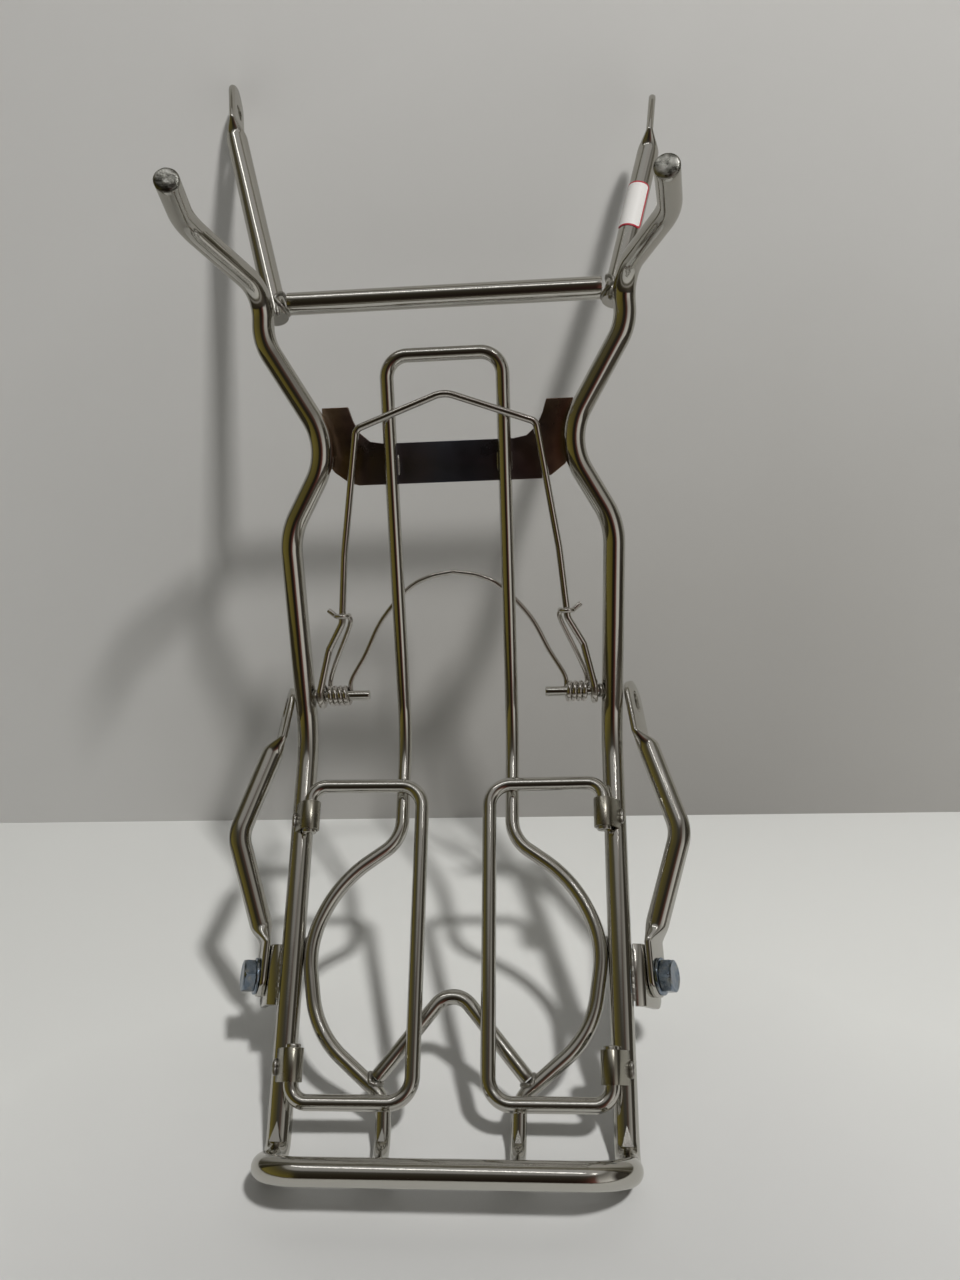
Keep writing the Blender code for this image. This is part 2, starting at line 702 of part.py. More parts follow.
def build():
    for obj in list(bpy.data.objects):
        bpy.data.objects.remove(obj, do_unlink=True)
    mats = make_materials()
    steel = mats["steel"]
    frame_tube(steel)
    crossbar(steel)
    package_loop(steel)
    brace_rod(steel)
    saddle_plate(mats["tinted"])
    bail(mats["wire"])
    torsion_spring(mats["wire"])
    arm_label(mats["label"])
    for word, side in (("left", -1), ("right", 1)):
        arm(word + "_arm", side, steel)
        horn_cap(word + "_horn_cap", side, steel)
        spring_pin(word + "_spring_pin", side, steel)
        wing(word + "_wing", side, steel)
        wing_clip(word + "_upper_clip", side, WING_HIGH - WING_END_R - GAP - CLIP_LENGTH, steel)
        wing_clip(word + "_lower_clip", side, WING_LOW + WING_END_R + GAP, steel)
        stay_bracket(word + "_stay_bracket", side, steel)
        stay(word + "_stay", side, steel)
        stay_bolt([word + "_stay_" + kind for kind in ("bolt", "washer", "nut")], side, mats["zinc"])


build()
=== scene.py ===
"""The looks of a folding luggage rack made of polished stainless tube and rod.

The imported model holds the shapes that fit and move.  Here each node gets a finely rounded
stand-in on the same centreline, weld beads where its pieces are joined, and a finish.  Lengths are
in metres; X runs across the rack, +Z is up and -Y is its front.  The lower plane (x, s up the
rails, n towards the front) and the upper plane (x, v up from the knee, n towards the front) are
the ones that the part is designed in.
"""
import json
from math import ceil, copysign, cos, hypot, pi, radians, sin, sqrt, tan, tau

import bmesh
import bpy
import numpy as np
from mathutils import Matrix, Vector, noise

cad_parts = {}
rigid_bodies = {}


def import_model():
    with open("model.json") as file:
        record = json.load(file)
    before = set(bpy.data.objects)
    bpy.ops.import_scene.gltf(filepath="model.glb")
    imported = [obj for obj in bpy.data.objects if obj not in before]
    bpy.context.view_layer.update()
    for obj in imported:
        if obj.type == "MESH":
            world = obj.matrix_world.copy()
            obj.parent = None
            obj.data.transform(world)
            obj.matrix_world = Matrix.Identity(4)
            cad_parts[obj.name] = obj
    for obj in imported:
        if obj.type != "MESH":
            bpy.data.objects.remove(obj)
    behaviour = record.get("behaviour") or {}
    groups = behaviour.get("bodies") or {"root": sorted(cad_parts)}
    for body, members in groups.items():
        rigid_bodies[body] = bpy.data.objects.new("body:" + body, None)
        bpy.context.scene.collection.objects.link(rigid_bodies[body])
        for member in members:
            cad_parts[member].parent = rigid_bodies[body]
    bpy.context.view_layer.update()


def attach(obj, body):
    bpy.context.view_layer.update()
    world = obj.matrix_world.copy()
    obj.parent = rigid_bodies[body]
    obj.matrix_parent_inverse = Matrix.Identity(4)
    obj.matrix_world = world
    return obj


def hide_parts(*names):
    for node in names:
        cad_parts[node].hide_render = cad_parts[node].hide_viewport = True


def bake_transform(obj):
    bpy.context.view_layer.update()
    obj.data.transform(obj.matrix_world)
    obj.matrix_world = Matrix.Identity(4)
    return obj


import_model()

# ---- dimensions of the part ----
TUBE_R = 0.00635
ROD_R = 0.004
BAIL_R = 0.0021
SPRING_R = 0.0015
GAP = 0.0003
LOWER_LEAN = radians(46.3)
UPPER_LEAN = radians(11.7)
LOWER_LENGTH = 0.228
FOOT_HEIGHT = 0.0021
ORIGIN_Y = 0.1439
FOOT_X = 0.0886
KNEE_X = 0.0920
LIP = 0.042
LIP_DROP = 0.0026
LOOP_X = 0.0330
LOOP_TOP = 0.2235
LOOP_SET_BACK = 0.0022
LOOP_LEG_X = 0.0345
LOOP_LEG_END_X = 0.0338
LOOP_CROOK = ((0.0352, 0.0290), (0.0735, 0.0600))
BRACE_APEX_S = 0.0850
BRACE_END = (0.0425, 0.0349)
SADDLE_RAIL_X = 0.0676
PLATE_T = 0.0025
HINGE_INSET = 0.0068
HINGE_N = 0.0102
WING_IN_X = 0.0195
WING_IN_N = 0.0086
WING_LOW = 0.0265
WING_HIGH = 0.1935
WING_END_R = 0.009
WING_IN_R = 0.0125
CLIP_LENGTH = 0.0165
CLIP_T = 0.0013
PIN_V = 0.0255
PIN_R = 0.003
PIN_END_X = 0.053
BAIL_EYE_X = 0.0820
BAIL_SHOULDER = (0.0518, 0.1830)
COIL_X = 0.0780
COIL_R = 0.0049
COIL_TURNS = 4
COIL_PITCH = 0.0031
STAY_YAW = radians(25)
STAY_BOLT_X = 0.1065
STAY_BOLT_N = -0.012
STAY_BOLT_S = 0.090
STAY_LENGTH = 0.156
STAY_BOW = 0.0225
STAY_LEAN = 0.0145
STAY_FLARE = (0.0052, 0.0007)
STAY_SHIFT = 0.0035
STAY_SLOT = (0.0033, 0.0060)
TAB_HALF = 0.0108
TAB_R = 0.002
TAB_TRANSITION = 0.010
TAB_HOLE_R = 0.0045
TAB_HOLE_INSET = 0.019
BOLT_R = 0.005
BRACKET_T = 0.003
BRACKET_HEIGHT = 0.032
WASHER_T = 0.0015
HEAD_HEIGHT = 0.0064
HEX_R = 0.0092
WASHER_R = 0.0098
NUT_HEIGHT = 0.008
ARM_X = 0.0995
CROSSBAR_V = 0.2575
ARM_N = -0.0147
CROSSBAR_END_GAP = 0.0020
ARM_FOOT = 0.010
ARM_STEP = (0.1265, 0.2936, 0.4950)
ARM_TIP = (0.1315, 0.3216, 0.5262)
ARM_EXTRA = {-1: 0.0100, 1: -0.0200}
HORN_EXTRA = {-1: 0.0040, 1: -0.0035}
RAIL_RADII = [0.011, 0.055, 0.042, 0.037, 0.030, 0.022, 0.035]
LIP_CORNER_R = 0.022
RAIL_WEB_S = 0.013
LOOP_WEB_X = 0.0346
LOOP_RADII = [0.015, 0.015, 0.050, 0.051, 0.070, 0.021, 0.060, 0.0125]

# ---- fineness of the visible meshes ----
TUBE_SIDES = 40
ROD_SIDES = 28
WIRE_SIDES = 18
RING_SPACING = 0.0035
ARC_STEPS = 14
BEAD_SPACING = 0.00045
SHARP_EDGE = radians(60)

SIDES = (("left", -1), ("right", 1))


# ---- the two planes ----
def from_foot(x, y, z):
    return Vector((x, y - ORIGIN_Y, z + FOOT_HEIGHT))


def leaning(lean, x, up, n):
    return (x, up * sin(lean) - n * cos(lean), up * cos(lean) + n * sin(lean))


def lower(x, s, n=0.0):
    return from_foot(*leaning(LOWER_LEAN, x, s, n))


def upper(x, v, n=0.0):
    return lower(0.0, LOWER_LENGTH) + Vector(leaning(UPPER_LEAN, x, v, n))


ACROSS = Vector((1.0, 0.0, 0.0))
LOWER_UP = lower(0.0, 1.0) - lower(0.0, 0.0)
LOWER_FRONT = lower(0.0, 0.0, 1.0) - lower(0.0, 0.0)
UPPER_UP = upper(0.0, 1.0) - upper(0.0, 0.0)
UPPER_FRONT = upper(0.0, 0.0, 1.0) - upper(0.0, 0.0)


def rail_x(s):
    return FOOT_X + (KNEE_X - FOOT_X) * s / LOWER_LENGTH


def on_side(side, points):
    """Points of the right side, mirrored for the left one."""
    return points if side > 0 else [Vector((-p.x, p.y, p.z)) for p in points]


# ---- paths ----
def bent(corners, radii, steps=ARC_STEPS):
    """Points along straight runs joined by arcs: one radius for each inner corner."""
    points = [corners[0]]
    for before, corner, after, radius in zip(corners, corners[1:], corners[2:], radii):
        u = (before - corner).normalized()
        w = (after - corner).normalized()
        angle = u.angle(w)
        reach = radius / tan(angle / 2)
        centre = corner + (u + w).normalized() * radius / sin(angle / 2)
        start = corner + u * reach - centre
        end = corner + w * reach - centre
        sweep_angle = start.angle(end)
        for k in range(steps + 1):
            f = k / steps
            spoke = sin((1 - f) * sweep_angle) * start + sin(f * sweep_angle) * end
            points.append(centre + spoke / sin(sweep_angle))
    points.append(corners[-1])
    return points


def smooth(points, steps=12):
    """A Catmull-Rom curve through the points."""
    ends = [2 * points[0] - points[1]] + points + [2 * points[-1] - points[-2]]
    out = []
    for a, b, c, d in zip(ends, ends[1:], ends[2:], ends[3:]):
        for k in range(steps):
            t = k / steps
            out.append(0.5 * (2 * b + (c - a) * t + (2 * a - 5 * b + 4 * c - d) * t ** 2
                              + (3 * b - a - 3 * c + d) * t ** 3))
    return out + [points[-1]]


def turns(centre, axis, start, angle, travel=0.0, steps=36):
    """Points that go round an axis from the offset start, and travel along it meanwhile."""
    count = max(4, round(abs(angle) / tau * steps))
    return [centre + Matrix.Rotation(angle * k / count, 3, axis) @ start + axis * travel * k / count
            for k in range(count + 1)]


def fine(path, spacing=RING_SPACING):
    """The same path with points added wherever two are further apart than the spacing."""
    out = [path[0]]
    for a, b in zip(path, path[1:]):
        pieces = max(1, ceil((b - a).length / spacing))
        out += [a.lerp(b, k / pieces) for k in range(1, pieces + 1)]
    return out


# ---- meshes ----
WELD_POINTS = []


def new_object(name, data):
    obj = bpy.data.objects.new(name, data)
    bpy.context.scene.collection.objects.link(obj)
    return obj


def new_mesh(name, bm):
    mesh = bpy.data.meshes.new(name)
    bm.to_mesh(mesh)
    bm.free()
    return mesh


def add_piece(name, bm, mat, body, node=None, slot="polished_steel", sharp=radians(40)):
    """Makes the object, gives it its finish and lets it ride on a body in place of a node."""
    bmesh.ops.recalc_face_normals(bm, faces=bm.faces)
    mesh = new_mesh(name, bm)
    mesh.materials.append(mat)
    mesh.shade_smooth()
    mesh.set_sharp_from_angle(angle=sharp)
    obj = new_object(name, mesh)
    if body:
        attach(obj, body)
    if node:
        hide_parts(node)
    return obj


def add_skin(node, bm, mat, body="frame", **look):
    """The finely rounded stand-in for a node."""
    return add_piece(node + "_skin", bm, mat, body, node, **look)


def quads(bm, rings):
    """Faces between closed rings of vertices that follow each other."""
    faces = []
    for low, high in zip(rings, rings[1:]):
        for k in range(len(low)):
            j = (k + 1) % len(low)
            faces.append(bm.faces.new((low[k], low[j], high[j], high[k])))
    return faces


def circle(radius, steps, centre=(0.0, 0.0)):
    return [(centre[0] + radius * cos(tau * k / steps),
             centre[1] + radius * sin(tau * k / steps)) for k in range(steps)]


def ring(half, radius, sides):
    """A cross-section: a circle, or with half above 0 a flat strip with round edges."""
    points = []
    for side in (1, -1):
        for k in range(sides // 2):
            angle = pi * ((k + 0.5) / (sides // 2) - 0.5)
            points.append((side * (half + radius * cos(angle)), side * radius * sin(angle)))
    return points


def loft(path, sections, side=None, closed=False):
    """A skin over cross-sections that follow a path; side is the direction of their width."""
    count = len(path)
    bm = bmesh.new()
    wide = side
    rings = []
    for k, centre in enumerate(path):
        before = path[(k - 1) % count] if closed or k else path[0]
        after = path[(k + 1) % count] if closed or k < count - 1 else path[-1]
        along = (after - before).normalized()
        wide = wide or along.orthogonal()
        wide = (wide - along * wide.dot(along)).normalized()
        thin = along.cross(wide)
        rings.append([bm.verts.new(centre + wide * a + thin * b) for a, b in sections[k]])
    quads(bm, rings + rings[:1] if closed else rings)
    if not closed:
        bm.faces.new(reversed(rings[0]))
        bm.faces.new(rings[-1])
    return bm


def round_bar(path, radius, sides, edge=0.0006):
    """A tube or rod whose end edges are rounded off."""
    path = fine(path)
    first = (path[1] - path[0]).normalized()
    last = (path[-1] - path[-2]).normalized()
    profile = [(edge * (1 - cos(radians(a))), edge * (1 - sin(radians(a))))
               for a in (0, 30, 60, 90)]
    start = [(path[0] + first * t, radius - cut) for t, cut in profile]
    end = [(path[-1] - last * t, radius - cut) for t, cut in reversed(profile)]
    stations = start + [(p, radius) for p in path[1:-1]] + end
    return loft([p for p, _ in stations], [ring(0.0, r, sides) for _, r in stations])


def sheet(outline, place, depth, bevel, hole=None, bevel_steps=3):
    """A flat piece with rounded edges: place maps (a, b, height) to a point; hole is a ring."""
    bm = bmesh.new()
    loops = [outline, hole] if hole else [outline]
    for height in (0.0, depth):
        edges = []
        for loop in loops:
            verts = [bm.verts.new(place(a, b, height)) for a, b in loop]
            edges += [bm.edges.new((v, w)) for v, w in zip(verts, verts[1:] + verts[:1])]
        bmesh.ops.triangle_fill(bm, edges=edges, use_beauty=True, use_dissolve=False)
    verts = list(bm.verts)
    total = len(verts) // 2
    walls = []
    first = 0
    for loop in loops:
        last = first + len(loop)
        walls += quads(bm, [verts[first:last], verts[total + first:total + last]])
        first = last
    bmesh.ops.recalc_face_normals(bm, faces=bm.faces)
    flat = [f for f in bm.faces if f not in walls]
    inner = {e for f in flat for e in f.edges if all(g in flat for g in e.link_faces)}
    bmesh.ops.dissolve_limit(bm, angle_limit=radians(1), edges=list(inner),
                             verts=list({v for f in flat for v in f.verts}))
    rims = [e for e in bm.edges if len(e.link_faces) == 2 and e.calc_face_angle(0.0) > SHARP_EDGE]
    if bevel:
        bmesh.ops.bevel(bm, geom=rims, offset=bevel, segments=bevel_steps, profile=0.5, affect="EDGES",
                        clamp_overlap=True)
    return bm


def drill(obj, centre, axis, radius, slot=Vector(), edge=0.0004):
    """Cuts a round hole, or a slot along a vector, with a small countersink at each mouth."""
    reach = 0.015
    mouth = TAB_R
    steps = 20
    long_way = slot.normalized() if slot.length else axis.orthogonal().normalized()
    cross = axis.cross(long_way).normalized()
    levels = [(-reach, 8 * edge), (-mouth - edge, 2 * edge), (-mouth + edge, 0.0),
              (mouth - edge, 0.0), (mouth + edge, 2 * edge), (reach, 8 * edge)]
    rings = []
    bm = bmesh.new()
    for height, wider in levels:
        points = []
        for end in (1, -1):
            for k in range(steps + 1 if slot.length else steps):
                angle = pi * (k / steps - 0.5)
                spoke = (long_way * cos(angle) + cross * sin(angle)) * (radius + wider)
                points.append(bm.verts.new(centre + axis * height + end * (slot / 2 + spoke)))
        rings.append(points)
    quads(bm, rings)
    bm.faces.new(rings[0])
    bm.faces.new(rings[-1])
    bmesh.ops.recalc_face_normals(bm, faces=bm.faces)
    cutter = new_object("cutter", new_mesh("cutter", bm))
    cut = obj.modifiers.new("hole", "BOOLEAN")
    cut.operation = "DIFFERENCE"
    cut.object = cutter
    bpy.context.view_layer.update()
    evaluated = obj.evaluated_get(bpy.context.evaluated_depsgraph_get())
    cut_mesh = bpy.data.meshes.new_from_object(evaluated)
    obj.modifiers.remove(cut)
    old = obj.data
    obj.data = cut_mesh
    bpy.data.meshes.remove(old)
    bpy.data.objects.remove(cutter, do_unlink=True)
    cut_mesh.shade_smooth()
    cut_mesh.set_sharp_from_angle(angle=radians(35))


# ---- weld beads ----
def bead(seam, radius, closed=False, pitch=0.0017, rough=0.16, seed=0):
    """Weld metal laid along a seam: overlapping ripples of uneven size."""
    path = fine(seam, BEAD_SPACING)
    count = len(path)
    sections = []
    travelled = 0.0
    for k, point in enumerate(path):
        travelled += (point - path[k - 1]).length if k else 0.0
        wave = (travelled / pitch) % 1.0
        size = radius * (0.86 + 0.20 * sqrt(1.0 - wave))
        size *= 1.0 + rough * noise.noise(point * 300 + Vector((seed, 0.0, 0.0)))
        if not closed:
            to_end = min(k, count - 1 - k) / max(1.0, 2.2 * radius / BEAD_SPACING)
            size *= sqrt(max(0.04, 1.0 - (1.0 - min(to_end, 1.0)) ** 2))
        sections.append(ring(0.0, size, 16))
    bm = loft(path, sections, closed=closed)
    for vert in bm.verts:
        vert.co += noise.noise_vector(vert.co * 700 + Vector((seed, 5.0, 0.0))) * radius * 0.04
    WELD_POINTS.extend(path[::4])
    return bm


def merge(parts):
    """Several meshes in one."""
    out = bmesh.new()
    for bm in parts:
        mesh = new_mesh("part", bm)
        out.from_mesh(mesh)
        bpy.data.meshes.remove(mesh)
    return out


def saddle(centre, axis, radius, other, other_axis, other_radius, steps=72):
    """The closed seam where a round bar along axis meets the side of another bar."""
    u = axis.orthogonal().normalized()
    w = axis.cross(u).normalized()
    clear = axis - other_axis * axis.dot(other_axis)
    points = []
    for k in range(steps):
        angle = tau * k / steps
        q = centre + (u * cos(angle) + w * sin(angle)) * radius
        off = (q - other) - other_axis * (q - other).dot(other_axis)
        a = clear.dot(clear)
        b = 2 * off.dot(clear)
        c = off.dot(off) - other_radius ** 2
        t = (-b - sqrt(max(b * b - 4 * a * c, 0.0))) / (2 * a)
        points.append(q + axis * t)
    return points


# ---- finishes ----
def nodes_of(name, metallic=0.0):
    mat = bpy.data.materials.new(name)
    mat.use_nodes = True
    tree = mat.node_tree
    shader = tree.nodes["Principled BSDF"]
    shader.inputs["Metallic"].default_value = metallic
    return mat, tree, shader


def feed(node, key, value):
    """Links an output to one of the node's inputs, or gives that input a constant."""
    if isinstance(value, bpy.types.NodeSocket):
        node.id_data.links.new(value, node.inputs[key])
    else:
        node.inputs[key].default_value = value


def add_node(tree, kind, **values):
    """A node with its properties and its inputs; an input's name has _ for each space."""
    node = tree.nodes.new(kind)
    for key, value in values.items():
        if hasattr(node, key):
            setattr(node, key, value)
        else:
            feed(node, key.replace("_", " "), value)
    return node


def coordinates(tree, kind="Object"):
    return add_node(tree, "ShaderNodeTexCoord").outputs[kind]


def object_noise(tree, scale, detail=3.0, stretch=(1.0, 1.0, 1.0), roughness=0.5):
    mapping = add_node(tree, "ShaderNodeMapping", Vector=coordinates(tree), Scale=stretch)
    grain = add_node(tree, "ShaderNodeTexNoise", Vector=mapping.outputs["Vector"], Scale=scale,
                     Detail=detail, Roughness=roughness)
    return grain.outputs["Fac"]


def mapped(value, low, high, out_low=0.0, out_high=1.0):
    span = add_node(value.id_data, "ShaderNodeMapRange", Value=value, From_Min=low, From_Max=high,
                    To_Min=out_low, To_Max=out_high)
    return span.outputs["Result"]


def ramp(value, stops):
    node = add_node(value.id_data, "ShaderNodeValToRGB")
    stripe = node.color_ramp
    while len(stripe.elements) < len(stops):
        stripe.elements.new(0.5)
    for element, (place, colour) in zip(stripe.elements, stops):
        element.position = place
        element.color = (*colour, 1.0)
    feed(node, "Fac", value)
    return node.outputs["Color"]


def added(a, b, factor):
    """a + b * factor."""
    node = add_node(a.id_data, "ShaderNodeMath", operation="MULTIPLY_ADD")
    for key, value in enumerate((b, factor, a)):
        feed(node, key, value)
    return node.outputs["Value"]


def mixed(factor, a, b):
    """Colour a where the factor is 0, and b where it is 1."""
    node = add_node(factor.id_data, "ShaderNodeMix", data_type="RGBA", Factor=factor)
    feed(node, 6, a)
    feed(node, 7, b)
    return node.outputs[2]


def coat(shader, colour, haze, layers=()):
    """Sets colour and roughness, and bump layers, each a (height, distance) pair, one after another."""
    feed(shader, "Base Color", colour)
    feed(shader, "Roughness", haze)
    normal = None
    for height, distance in layers:
        bump = add_node(shader.id_data, "ShaderNodeBump", Distance=distance, Height=height)
        if normal:
            feed(bump, "Normal", normal)
        normal = bump.outputs["Normal"]
        feed(shader, "Normal", normal)


def heat(tree):
    """How near a weld a point is: 1 at the bead, 0 away from it."""
    attribute = add_node(tree, "ShaderNodeAttribute", attribute_name="heat")
    return attribute.outputs["Fac"]


def polished(name, stops, low, high, grain=2600.0):
    """Buffed steel: fine haze, soft waviness, and straw and brown colours beside the welds."""
    mat, tree, shader = nodes_of(name, 1.0)
    cloud = object_noise(tree, 55.0, 4.0)
    hue = added(heat(tree), cloud, 0.22)
    haze = added(mapped(cloud, 0.35, 0.7, low, high), heat(tree), 0.10)
    coat(shader, ramp(hue, stops), haze, [(object_noise(tree, 45.0, 1.0), 0.00012),
                                          (object_noise(tree, grain, 2.0), 0.000010)])
    return mat


def clouded(name, stops, low, high, scale, detail, grain, distance, stretch=(1.0, 1.0, 1.0), relief=0.0):
    """Metal in patches of colour and haze, with a fine grain; relief makes the patches bumps too."""
    mat, tree, shader = nodes_of(name, 1.0)
    cloud = object_noise(tree, scale, detail)
    patches = [(cloud, relief)] if relief else []
    coat(shader, ramp(cloud, stops), mapped(cloud, 0.3, 0.7, low, high),
         patches + [(object_noise(tree, grain, 2.0, stretch), distance)])
    return mat


def tint_and_reflection_plate():
    """Steel painted dark as a painted reflection of a dark room, with heat colours: blue-grey in the
    middle, purple and brown outwards towards the welds, dull near the welds.
    """
    mat, tree, shader = nodes_of("heat_tinted_steel", 1.0)
    split = add_node(tree, "ShaderNodeSeparateXYZ", Vector=coordinates(tree))
    across = add_node(tree, "ShaderNodeMath", operation="ABSOLUTE")
    feed(across, 0, split.outputs["X"])
    reach = mapped(across.outputs["Value"], 0.0, 0.074, 0.0, 0.72)
    cloud = object_noise(tree, 38.0, 5.0, roughness=0.6)
    # Very dark base colours: painted reflection. The brown outwards is partly heat tint beside the welds
    # and partly painted reflection.
    stops = [(0.10, (0.085, 0.095, 0.135)), (0.34, (0.110, 0.118, 0.155)), (0.56, (0.140, 0.118, 0.125)),
             (0.72, (0.150, 0.110, 0.098)), (0.86, (0.28, 0.19, 0.13)), (1.0, (0.36, 0.28, 0.21))]
    haze = added(mapped(cloud, 0.3, 0.7, 0.24, 0.42), heat(tree), 0.12)
    coat(shader, ramp(added(reach, cloud, 0.45), stops), haze,
         [(object_noise(tree, 60.0, 2.0), 0.0004), (object_noise(tree, 1500.0, 3.0), 0.00003)])
    return mat


def film():
    """Printed film: white with a thin red border, worked out from where a point lies on the label."""
    mat, tree, shader = nodes_of("label_film")
    attribute = add_node(tree, "ShaderNodeAttribute", attribute_name="border")
    cloud = object_noise(tree, 600.0, 3.0)
    mark = added(attribute.outputs["Fac"], cloud, 0.06)
    stops = [(0.0, (0.80, 0.79, 0.77)), (0.50, (0.78, 0.77, 0.75)), (0.56, (0.45, 0.03, 0.05)),
             (1.0, (0.45, 0.03, 0.05))]
    coat(shader, ramp(mark, stops), mapped(cloud, 0.3, 0.7, 0.26, 0.40))
    return mat


STEEL_COLOURS = [(0.0, (0.61, 0.60, 0.565)), (0.30, (0.605, 0.59, 0.545)), (0.62, (0.60, 0.52, 0.40)),
                 (0.85, (0.42, 0.34, 0.30)), (1.0, (0.52, 0.50, 0.48))]
STEEL = polished("polished_steel", STEEL_COLOURS, 0.05, 0.11)
WIRE = polished("spring_steel", [(0.0, (0.62, 0.60, 0.57)), (1.0, (0.55, 0.50, 0.44))], 0.10, 0.20)
# The strap steel's base colour is darker than the buffed steel's: painted shade standing in for the dark
# reflections on the clips.
STRAP = polished("strap_steel", [(0.0, (0.40, 0.385, 0.33)), (1.0, (0.36, 0.34, 0.29))], 0.20, 0.32)
WELD_COLOURS = [(0.3, (0.32, 0.30, 0.27)), (0.5, (0.44, 0.43, 0.40)), (0.75, (0.54, 0.53, 0.51))]
WELD = clouded("weld_metal", WELD_COLOURS, 0.26, 0.40, 420.0, 4.0, 900.0, 0.00003)
GROUND_COLOURS = [(0.38, (0.17, 0.17, 0.155)), (0.52, (0.36, 0.36, 0.33)), (0.68, (0.58, 0.58, 0.55))]
GROUND = clouded("ground_steel", GROUND_COLOURS, 0.20, 0.36, 260.0, 3.0, 500.0, 0.00006,
                 stretch=(0.3, 3.0, 3.0), relief=0.0003)
ZINC_COLOURS = [(0.3, (0.19, 0.25, 0.33)), (0.55, (0.31, 0.37, 0.45)), (0.75, (0.52, 0.52, 0.47))]
ZINC = clouded("zinc_plate", ZINC_COLOURS, 0.14, 0.26, 350.0, 4.0, 1800.0, 0.00003)
PLATE = tint_and_reflection_plate()
FILM = film()


# ---- frame tube and its horns ----
def rail_corners(side):
    extra = HORN_EXTRA[side]
    low = [lower(FOOT_X, -LIP_DROP, LIP), lower(FOOT_X, 0.0), lower(KNEE_X, LOWER_LENGTH)]
    high = [upper(x, v) for x, v in (
        (0.0955, 0.1240), (SADDLE_RAIL_X, 0.1725), (0.1036, 0.2345), (0.1018, 0.2620))]
    horn = [from_foot(0.1240 + extra / 2, 0.1720, 0.4460 + extra),
            from_foot(0.1185 + extra / 2, 0.1410, 0.4625 + extra)]
    return on_side(side, low + high + horn)


def rail_near(point, side):
    """The point of the rail's centreline that is nearest to a point."""
    path = fine(bent(rail_corners(side), RAIL_RADII), 0.001)
    return min(path, key=lambda p: (p - point).length)


def frame_tube():
    radii = RAIL_RADII[::-1] + [LIP_CORNER_R, LIP_CORNER_R] + RAIL_RADII
    path = bent(rail_corners(-1)[::-1] + rail_corners(1), radii)
    add_skin("frame_tube", round_bar(path, TUBE_R, TUBE_SIDES, 0.0003), STEEL)


def foot_web(name, x, radius, top, bottom, rise, half):
    """The small bright flat in the crook of a foot bend, pointed at its top."""
    bm = bmesh.new()
    corners = [(0.0, top, 0.0), (-half, bottom, rise), (half, bottom, rise)]
    face = [bm.verts.new(lower(x + a, s, radius + n)) for a, s, n in corners]
    buried = [bm.verts.new(lower(x + a * 1.25, s - 0.001, radius * 0.6)) for a, s, n in corners]
    bm.faces.new(face)
    bm.faces.new(buried[::-1])
    quads(bm, [buried, face])
    add_piece(name, bm, STEEL, "frame")


def foot_webs():
    for word, side in SIDES:
        foot_web(word + "_rail_web", side * rail_x(RAIL_WEB_S), TUBE_R, 0.0178, 0.0085, 0.0019, 0.0029)
        foot_web(word + "_loop_web", side * LOOP_WEB_X, ROD_R, 0.0152, 0.0092, 0.0014, 0.0017)


def horn_cap(word, side):
    """A disc welded into the horn's mouth and ground nearly flat."""
    tip, before = rail_corners(side)[-1], rail_corners(side)[-2]
    along = (tip - before).normalized()
    levels = [(0.0, TUBE_R - 0.0001), (0.0006, TUBE_R), (0.0011, TUBE_R - 0.0004),
              (0.0014, TUBE_R - 0.0012), (0.0015, TUBE_R - 0.0030), (0.0014, 0.0012)]
    path = [tip + along * (h + GAP * 0.2) for h, _ in levels]
    bm = loft(path, [ring(0.0, r, TUBE_SIDES) for _, r in levels])
    for vert in bm.verts:
        vert.co += along * 0.00018 * noise.noise(vert.co * 420)
    add_skin(word + "_horn_cap", bm, GROUND)


# ---- arms and crossbar ----
def arm_path(side):
    crossing = upper(ARM_X, CROSSBAR_V, ARM_N)
    step = from_foot(*ARM_STEP)
    along = (step - crossing).normalized()
    extra = along * ARM_EXTRA[side]
    points = [crossing - along * ARM_FOOT, step + extra, from_foot(*ARM_TIP) + extra]
    return on_side(side, points)


def eased(f):
    return f * f * (3.0 - 2.0 * f)


def tab_sections(step, tip, path_before, shift=Vector()):
    """Path and rings of a tube end pressed flat: round tube, a smooth squeeze, a round-ended tab."""
    along = (tip - step).normalized()
    length = (tip - step).length
    path = list(path_before)
    sections = [ring(0.0, TUBE_R, TUBE_SIDES)] * len(path)
    squeeze = 12
    for k in range(squeeze + 1):
        f = k / squeeze
        radius = TUBE_R + (TAB_R - TUBE_R) * eased(f)
        half = (TAB_HALF - TAB_R) * eased(f)
        path.append(step + along * f * TAB_TRANSITION + shift * (1 - f))
        sections.append(ring(half, radius, TUBE_SIDES))
    flat_end = length - TAB_HALF
    for f in (0.34, 0.67):
        path.append(step + along * (TAB_TRANSITION + (flat_end - TAB_TRANSITION) * f))
        sections.append(ring(TAB_HALF - TAB_R, TAB_R, TUBE_SIDES))
    for k in range(10):
        a = radians(80.0 * k / 9)
        path.append(step + along * (flat_end + TAB_HALF * sin(a)))
        sections.append(ring(max(TAB_HALF * cos(a) - TAB_R, 0.0002), TAB_R, TUBE_SIDES))
    return path, sections


def arm(word, side):
    foot, step, tip = arm_path(side)
    along = (tip - step).normalized()
    wide = (tip - step).cross(Vector((side, 0.0, 0.0))).normalized()
    path, sections = tab_sections(step, tip, fine([foot, step])[:-1])
    obj = add_skin(word + "_arm", loft(path, sections, wide), STEEL)
    drill(obj, tip - along * TAB_HOLE_INSET, along.cross(wide).normalized(), TAB_HOLE_R)


def crossbar():
    end = ARM_X - TUBE_R - CROSSBAR_END_GAP
    path = [upper(x, CROSSBAR_V, ARM_N) for x in (-end, end)]
    add_skin("crossbar", round_bar(path, TUBE_R, TUBE_SIDES, 0.0002), STEEL)


